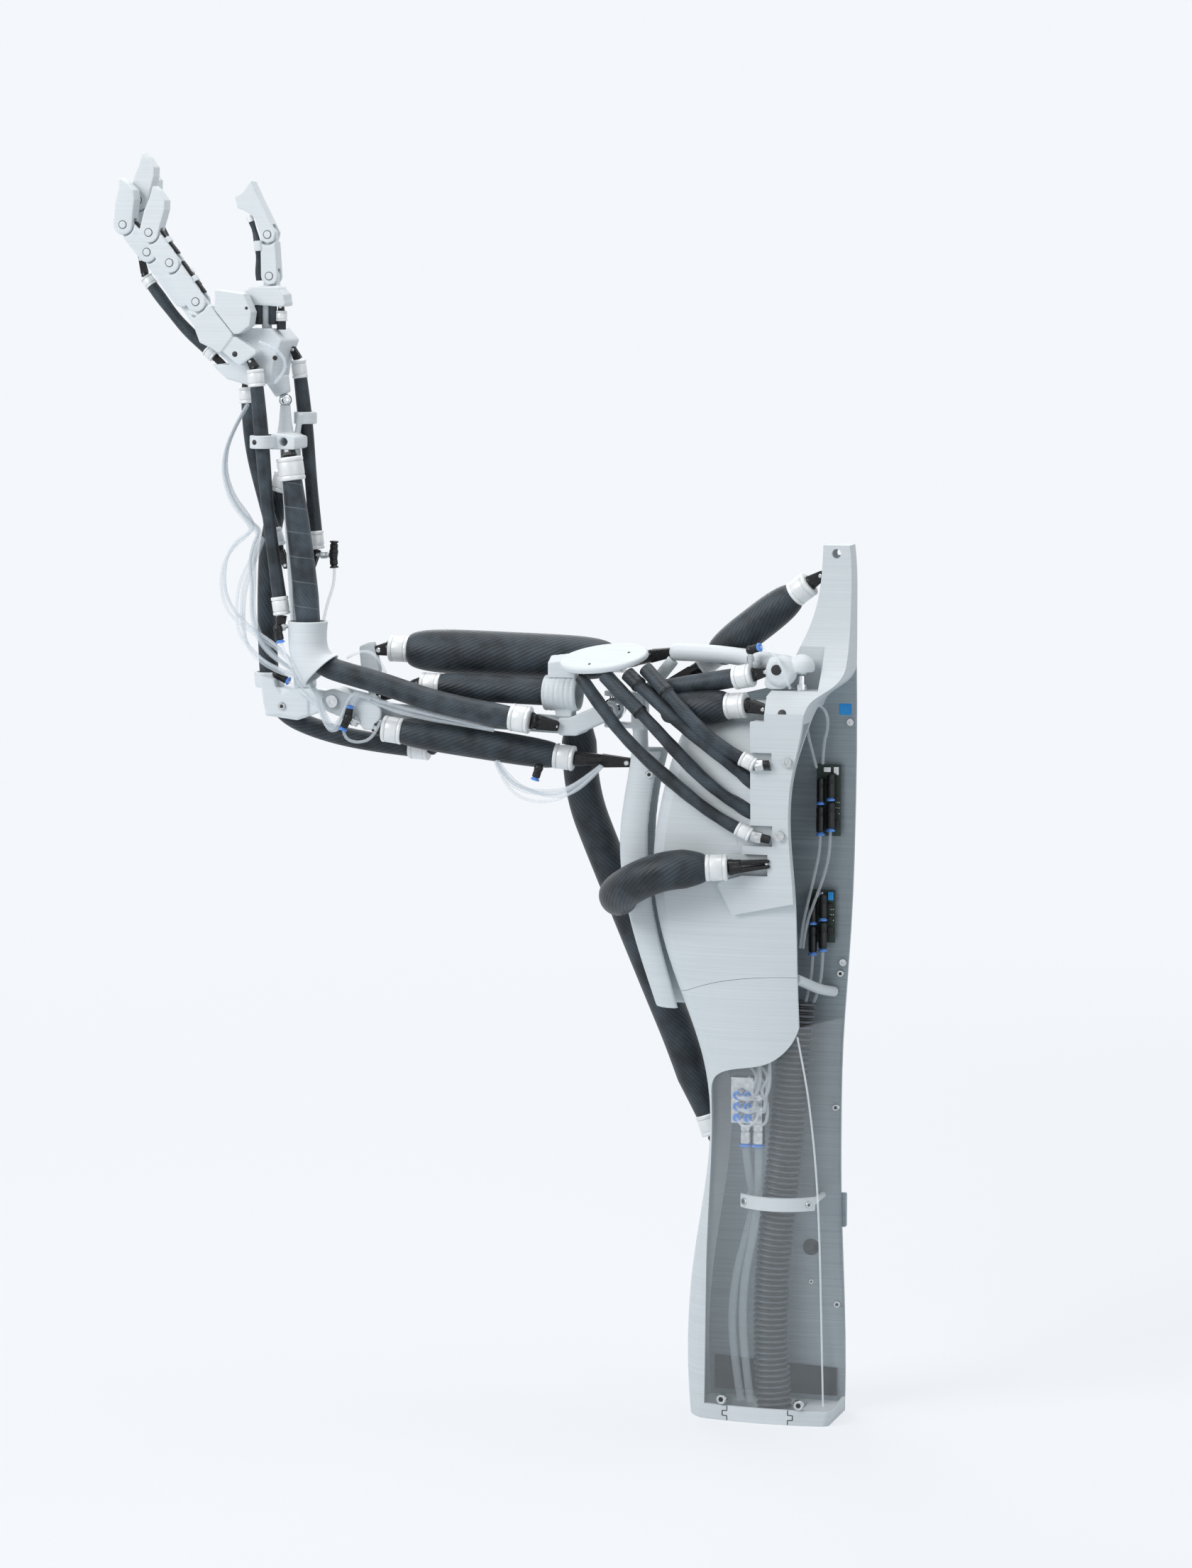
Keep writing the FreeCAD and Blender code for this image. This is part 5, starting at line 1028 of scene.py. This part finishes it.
ARM_FITTINGS = {
    "forearm": [((-481, -33.5, 770), (-488.5, -40, 767.5), (-485.6, -40, 753.7)),
                ((-511, 11, 716), (-503.5, 0, 718), (-491, 0, 711.6)),
                ((-466, 14, 837), (-447, 9, 838), (-445.8, 8, 825), 0),
                ((-447, 9, 839), (-446.5, 9, 841), (-446, 9, 852), 0)],
    "upper_arm": [((-412, -16, 675), (-421.5, -24, 680.5), (-419.5, -24, 692)),
                  ((-415, -16, 672), (-422, -24, 679), (-427.5, -24, 667.5))],
    "shoulder_blade": [((-226, -8, 640), (-227.6, -17, 635), (-231.3, -18, 623)),
                       ((-12.2, -26, 741), (-12.2, -26, 757), (-1.5, -30, 760.6))]}
for body, rows in ARM_FITTINGS.items():
    parts = sum((elbow_fitting(*row) for row in rows), [])
    riding(f"{body}_air_fittings", parts, FITTING_SET, body)
print("arm fittings", {k: len(v) for k, v in ARM_FITTINGS.items()})

# %% [markdown]
# ## Thin air tubes
# Every muscle has its own clear tube, about 3 mm thick. They run in loose bundles, so one route is
# given and its strands wander from it by a seeded amount, less at the ends, where fittings
# hold them. A row is a bundle: its name, strands, spread, body and route, then what it bends to.

# %% Strands
wander = np.random.default_rng(11)
TUBE_MM = 3.2


def air_tubes(name, count, spread, body, route, other=None, blend=None):
    """Strands of a bundle: each keeps one offset along its whole route and a smaller one at each point."""
    route = np.array(route, float)
    hold = np.sin(np.linspace(0, np.pi, len(route)))[:, None] * 0.75 + 0.25
    for k in range(count):
        shift = wander.normal(0, spread, 3) + wander.normal(0, spread * 0.16, route.shape)
        strand = route + shift * hold * (count > 1)
        made = cord_piece(f"{name}_{k}", strand.tolist(), TUBE_MM, tube_clear, body, None, other,
                          blend)


WRIST_LOOP = [(-527, -15, 986), (-545, -14, 958), (-553, -14, 926), (-546, -14, 895), (-528, -13, 872)]
TUBES = [
    ("forearm_tube_wide", 3, 3.6, "forearm",
     WRIST_LOOP + [(-522.5, -12, 859), (-540, -12, 849), (-551.5, -12, 833), (-555.7, -12, 815),
                   (-555, -12, 795.5), (-547.7, -12, 780), (-533.4, -12, 766), (-514, -14, 755),
                   (-493, -14, 742), (-479, -9, 724)]),
    ("forearm_tube_near", 4, 3.4, "forearm",
     WRIST_LOOP + [(-514, -11, 862), (-521, -12, 850), (-524.5, -12, 832), (-522.6, -12, 808),
                   (-524, -12, 784.5), (-520, -14, 765), (-512, -14, 749), (-498, -12, 734),
                   (-480, -9, 722)]),
    ("forearm_tube_low", 3, 3.4, "forearm",
     [(-515, -11, 856), (-528, -10, 835), (-540.4, -10, 813), (-544.8, -10, 791), (-545, -10, 770),
      (-540.6, -11, 754), (-528, -12, 741), (-513, -12, 731), (-496, -11, 724), (-481, -9, 719)]),
    ("elbow_tube", 5, 2.1, "forearm",
     [(-476, -9, 721), (-468, -13, 714), (-457, -20, 706), (-450, -25, 695), (-445, -26, 681),
      (-437.5, -26, 667), (-428.5, -26, 672), (-423, -25, 687), (-418, -23, 700), (-409, -22, 704),
      (-398, -21, 698)],
     "upper_arm", [(-455, -20, 700), (-425, -20, 690)]),
    ("upper_arm_tube", 4, 1.8, "upper_arm",
     [(-405, -21, 703), (-397.7, -21, 697.5), (-375, -21, 691), (-340, -21, 683.4), (-309, -22, 678.5),
      (-272, -22, 672)]),
    ("deltoid_tube", 1, 0, "upper_arm",
     [(-423.6, -20, 738.5), (-413.6, -22, 744.5), (-401, -22, 746.4), (-390, -22, 740), (-383.4, -20, 724.4)],
     "forearm", [(-392, -22, 742), (-424, -20, 739)]),
    ("valve_tube", 1, 0, "forearm",
     [(-445.8, 8, 828), (-445, 7, 816), (-446.6, 3, 803), (-450.5, -2, 789), (-452.3, -8, 772)]),
    ("front_muscle_tube", 1, 0, "forearm",
     [(-485.7, -40, 756), (-482, -42.5, 747), (-475.5, -48, 737), (-469.6, -50, 727), (-461.5, -42, 707),
      (-455.7, -30, 692)]),
    ("yoke_tube", 1, 0, "forearm",
     [(-494, 0, 713), (-486, -6, 709.5), (-478, -12, 706.5), (-465, -19, 699), (-453, -24, 689),
      (-446, -26, 678)]),
    ("low_elbow_tube", 1, 0, "upper_arm",
     [(-426.5, -24, 669.5), (-426, -24.5, 660), (-414, -24, 655), (-400, -24, 658), (-392, -24, 668),
      (-388, -22, 678)]),
    ("underarm_loop", 5, 4.6, "shoulder_blade",
     [(-270, -18, 640), (-259, -20, 622), (-240, -20, 610), (-218, -20, 605), (-196, -20, 610),
      (-177, -18, 624), (-164, -14, 638)]),
    ("collar_tube", 1, 0, "shoulder_blade",
     [(-3, -29.5, 760.3), (6, -33, 761), (15, -37, 753), (22, -40, 743), (27, -40, 731), (30, -38, 722)]),
    ("hand_tube", 2, 1.0, "hand",
     [(-505.8, -40, 1049), (-496, -39, 1046), (-486, -36, 1040), (-480, -33, 1030), (-483, -30, 1019),
      (-494, -26, 1009)])]
for row in TUBES:
    air_tubes(*row)
print("arm tubes", sum(row[1] for row in TUBES))

# %% Tubes in the torso
for k, (x, z, m) in enumerate(VALVES):
    low = z - 49
    upper = [(x - 4, 12, low - 36), (x - 9 - 3 * m, 8, low - 60), (33 + 3 * m, 5, low - 88),
             (31 + 3 * m, 4, low - 110)]
    lower = [(x - 3, 12, low - 34), (x - 6 - 3 * m, 9, low - 50), (x - 10 - 5 * m, 7, low - 56),
             (x - 14 - 6 * m, 5, low - 53), (x - 17 - 7 * m, 4, low - 44)]
    start = [(x, COLUMN_Y, low + 4 * m), (x, COLUMN_Y - 1, low - 14)]
    air_tubes(f"board_tube_{k // 2}{m}", 1, 0, "torso", start + (lower if k > 1 else upper))
for k, (x, z) in enumerate(PORTS[:4]):
    air_tubes(f"manifold_tube_{k}", 1, 0, "torso",
              [(x, -27, z), (x + 1, -32, z), (x + 8, -35.5, z - 3), (x + 20, -35, z),
               (x + 26 - 2 * k, -33, z + 14), (x + 22, -29, z + 38), (x + 15 + 2 * k, -24, z + 66),
               (10 + 4 * k, -18, 430), (18 + 4 * k, -14, 456)])
for k, (x, z) in enumerate(PORTS[4:] + PORTS[2:4] + PORTS[:2]):
    air_tubes(f"manifold_curl_{k}", 1, 0, "torso",
              [(x, -27, z), (x + 2, -33, z - 1), (x + 9 + k, -36, z - 8 + 2 * k), (x + 20, -35.5, z - 4),
               (x + 24 - 2 * k, -34, z + 8), (x + 19 + k, -31, z + 22), (x + 12, -28, z + 30)])
air_tubes("board_loop_tube", 1, 0, "torso",
          [(50, 16, 644), (51, 14, 664), (57, 10, 682), (55, 7, 698), (45, 6, 704), (36, 7, 694),
           (36, 9, 676), (40, 12, 658), (44, 15, 640)])
print("torso tubes")

# %% [markdown]
# ## Small parts
# Pins, screws, bores in painted shade and the parts on the boards are what the eye finds last. The palm
# covers the first pins of the ring and the middle finger, so only the others are drawn.


# %% Finger pins
PIN_RADIUS, PIN_GAP = 3.5, 0.75


def pin_head(x, y, z, turn):
    """Pin end: a dark ring that reads as the gap round it, and a low disc with a rolled edge."""
    a, b = (x, y - turn * 0.3, z), (x, y + turn * 0.55, z)
    r, ring = PIN_RADIUS, PIN_RADIUS + PIN_GAP
    return [turned(a, b, [(0, ring), (0.5, ring), (0.55, ring - 0.25)], 36, 1),
            turned(a, b, [(0, r), (0.8, r), (0.94, r - 0.2), (1, r - 0.6)], 36, 0)]


FINGERS = {"little": (-33, [(-571, 1088), (-598, 1126), (-619.5, 1155.5)]),
           "ring": (-11, [(-594, 1092), (-630, 1136), (-655, 1163)]),
           "middle": (11, [(-598, 1096), (-632, 1147), (-647, 1187)]),
           "index": (33, [(-600, 1094), (-635, 1141), (-651, 1177)]),
           "thumb": (-10, [(-502.5, 1113), (-504, 1153.5)])}
HALF_WIDE = 8.5
for finger, (y, joints) in FINGERS.items():
    links = ["proximal", "tip"] if finger == "thumb" else ["proximal", "middle", "tip"]
    for (x, z), link in zip(joints, links):
        if finger in ("ring", "middle") and link == "proximal":
            continue
        heads = sum((pin_head(x, y + turn * HALF_WIDE, z, turn) for turn in (-1, 1)), [])
        riding(f"{finger}_{link}_pin", heads, [nylon_pale, chip_black], f"{finger}_{link}")
print("finger joints", sum(len(joints) for _, joints in FINGERS.values()))

# %% [markdown]
# ### Finger pulls
# A dark flat pull runs along the palm side of each link, under a pale clip. It is a bar beside the
# link's own line, so it swings with the link.

# %% Finger pulls
ACROSS = (0, 1, 0)
for finger, (y, joints) in FINGERS.items():
    if finger == "thumb":
        continue
    for (p, q), link in zip(zip(joints, joints[1:]), ("proximal", "middle")):
        p, q = arrays((p[0], y, p[1]), (q[0], y, q[1]))
        along = unit(q - p)
        out = np.array([along[2], 0.0, -along[0]])
        pull = bar(p + along * 3 + out * 11.0, q - along * 5 + out * 9.6, 2.6, 7.0, 1.0, 0.5, ACROSS, 0, 0.8)
        clip = bar(p + along * 17 + out * 10.0, p + along * 23 + out * 9.8, 6.4, 9.0, 1.6, 0.5, ACROSS, 1)
        riding(f"{finger}_{link}_pull", [pull, clip], [rubber_black, nylon_pale], f"{finger}_{link}")
clip = bar((-513.5, -16, 1137.5), (-514.2, -16, 1147.5), 8.4, 8.0, 2.4, 0.6, ACROSS)
riding("thumb_clip", [clip], [nylon_pale], "thumb_proximal")
print("finger pulls and thumb clip")

# %% [markdown]
# ### Screws and bores in painted shade
# Each sits on the solid that carries it: a ray sent along the depth axis finds the surface, so nothing
# floats or sinks.


# %% Screws and bores in painted shade
bpy.context.view_layer.update()


def seat(name, x, z):
    """Point and outward direction of a shown solid's front at x and z, in mm."""
    carrier = bpy.data.objects.get(f"{name}_sintered") or nodes[name]
    found, point, normal, _ = carrier.ray_cast((x * MM, -0.5, z * MM), (0, 1, 0))
    if not found:
        raise ValueError(f"nothing of {name} at {x}, {z}")
    return np.array(point) / MM, np.array(normal)


def bore(name, x, z, radius):
    """Painted shade of an open hole: a dark disc flush with the surface, with a fine raised rim."""
    at, out = seat(name, x, z)
    return [turned(at - out * 1.5, at + out * 0.25, [(0, radius), (0.9, radius), (1, radius * 0.86)], 28, 0)]


def cap_screw(name, x, z, radius, tall=1.8):
    """Socket screw on a surface: a chamfered round head and a dark hexagon in its middle."""
    at, out = seat(name, x, z)
    return [turned(at - out, at + out * tall, [(0, radius), (0.75, radius), (1, radius * 0.86)], 28, 1),
            turned(at, at + out * (tall + 0.08), [(0, radius * 0.5), (1, radius * 0.5)], 6, 0)]


SMALL = {
    "torso": [(bore, "chest_shell", 24.3, 698.6, 4.2),
              (cap_screw, "window", -36, 21, 5.4, 4.0), (cap_screw, "window", 41.5, 20.5, 5.4, 4.0),
              (cap_screw, "spine_plate", 65.5, 437, 3.6, 4.0),
              (cap_screw, "spine_plate", 61.5, 304, 3.6, 4.0),
              (cap_screw, "spine_plate", 64, 107.5, 3.6, 4.0), (cap_screw, "spine_plate", 37.5, 128.5, 2.6),
              (cap_screw, "hose_strap", -18, 216, 3.4), (cap_screw, "hose_strap", 46, 216, 3.4)],
    "shoulder_blade": [(cap_screw, "scapula", -116.5, 632, 4.0), (bore, "clavicle", 15.4, 739.2, 5.2)],
    "upper_arm": [(bore, "deltoid_cap", -172, 740, 1.4), (bore, "deltoid_cap", -136, 751, 1.4)],
    "forearm": [(cap_screw, "elbow_yoke", -494.7, 688, 4.0), (bore, "wrist_bracket", -510, 951, 2.6)],
    "hand": [(bore, "palm", -531, 1037, 2.8), (bore, "palm_cover", -518, 1082, 1.6),
             (bore, "palm", -495, 1033, 2.4)]}
for body, rows in SMALL.items():
    parts = sum((make(*row) for make, *row in rows), [])
    riding(f"{body}_screws_and_shaded_bores", parts, [chip_black, nickel], body)
print("screws and plugs", {k: len(v) for k, v in SMALL.items()})

# %% Key seams, the pane's painted edge highlight and a panel of painted shade in the foot
KEY_SEAM = [(30.8, 14.8), (30.8, 10), (35.6, 9.8), (35.6, 5.2), (30.8, 5), (30.8, 0.6)]
seams = []
for turn in (-1, 1):
    rim = [seat("base_foot", turn * x, z)[0] for x, z in KEY_SEAM]
    seams += [bar(p, q, 0.9, 0.5, 0.2, 0.1, ACROSS) for p, q in zip(rim, rim[1:])]
riding("foot_key_seams", seams, [chip_black], "torso")
# A pale tube along the pane's corner paints the highlight on the pane's edge.
PANE_CORNER = [(38.5, 384), (44.5, 349), (50, 314), (57, 252), (60, 181), (63, 100), (65, 20)]
rim = [seat("window", x, z) for x, z in PANE_CORNER]
line = nurbs_line([at + out * 0.2 for at, out in rim], 4 * MM)
lit_edge = tube(line, *axes_along(line), 1.0 * MM, 12)
riding("window_lit_edge", [lit_edge], [pane_edge_highlight], "torso")
# A dark panel low in the foot, just in front of the plate, paints the shade inside the foot.
foot_shade_panel = slab([(-60, 15.5), (64, 15.5), (64, 43), (-60, 49)], 29.5, 33.2, 0.5)
riding("foot_painted_shade", [foot_shade_panel], [rubber_black], "torso")
print("key seams", len(seams), "pane edge", round(lengths(line)[-1] / MM))

# %% Label, grommet and boards
PLATE_Y = 33.0
label = bar((68.2, PLATE_Y + 0.3, 696.2), (68.2, PLATE_Y - 0.25, 696.2), 12.5, 11.2, 1.2, 0.08)
grommet = turned((37, PLATE_Y + 8.5, 163), (37, PLATE_Y - 2, 163),
                 [(0, 7.6), (0.16, 7.6), (0.2, 5.8), (0.78, 5.8), (0.8, 8.2), (0.95, 8.0), (1, 6.6), (1, 4.0),
                  (0.9, 3.4)], 32, 1)
board_bits = []
for k, (x0, x1, z0, z1) in enumerate(BOARDS):
    chips = [(x1 - 4, z0 + 12, 5, 7, 1), (x1 - 4, z0 + 24, 4, 4, 1), (x1 - 4.5, z0 + 36, 5, 5, 1),
             (x0 + 3, z0 + 5, 5, 8, 2), (x0 + 11, z1 - 5, 7, 5, 2), (x1 - 4, z1 - 6, 5, 8, 0 if k else 2)]
    for x, z, wide, high, slot in chips:
        under, top = (x, BOARD_FACE + 0.3, z), (x, BOARD_FACE - 3.2, z)
        board_bits.append(bar(under, top, wide, high, 0.6, 0.3, slot=slot))
    for step in range(9):
        x, z = x1 - 1.6 - 1.7 * (step % 3), z0 + 4 + 5.5 * (step // 3) + 18
        pad = [(0, 0.5), (0.8, 0.5), (1, 0.3)]
        board_bits.append(turned((x, BOARD_FACE + 0.2, z), (x, BOARD_FACE - 0.7, z), pad, 8, 2))
riding("plate_label_and_board_parts", [label, grommet] + board_bits, [label_blue, chip_black, nickel],
       "torso")
print("label, grommet and", len(board_bits), "parts on the boards")
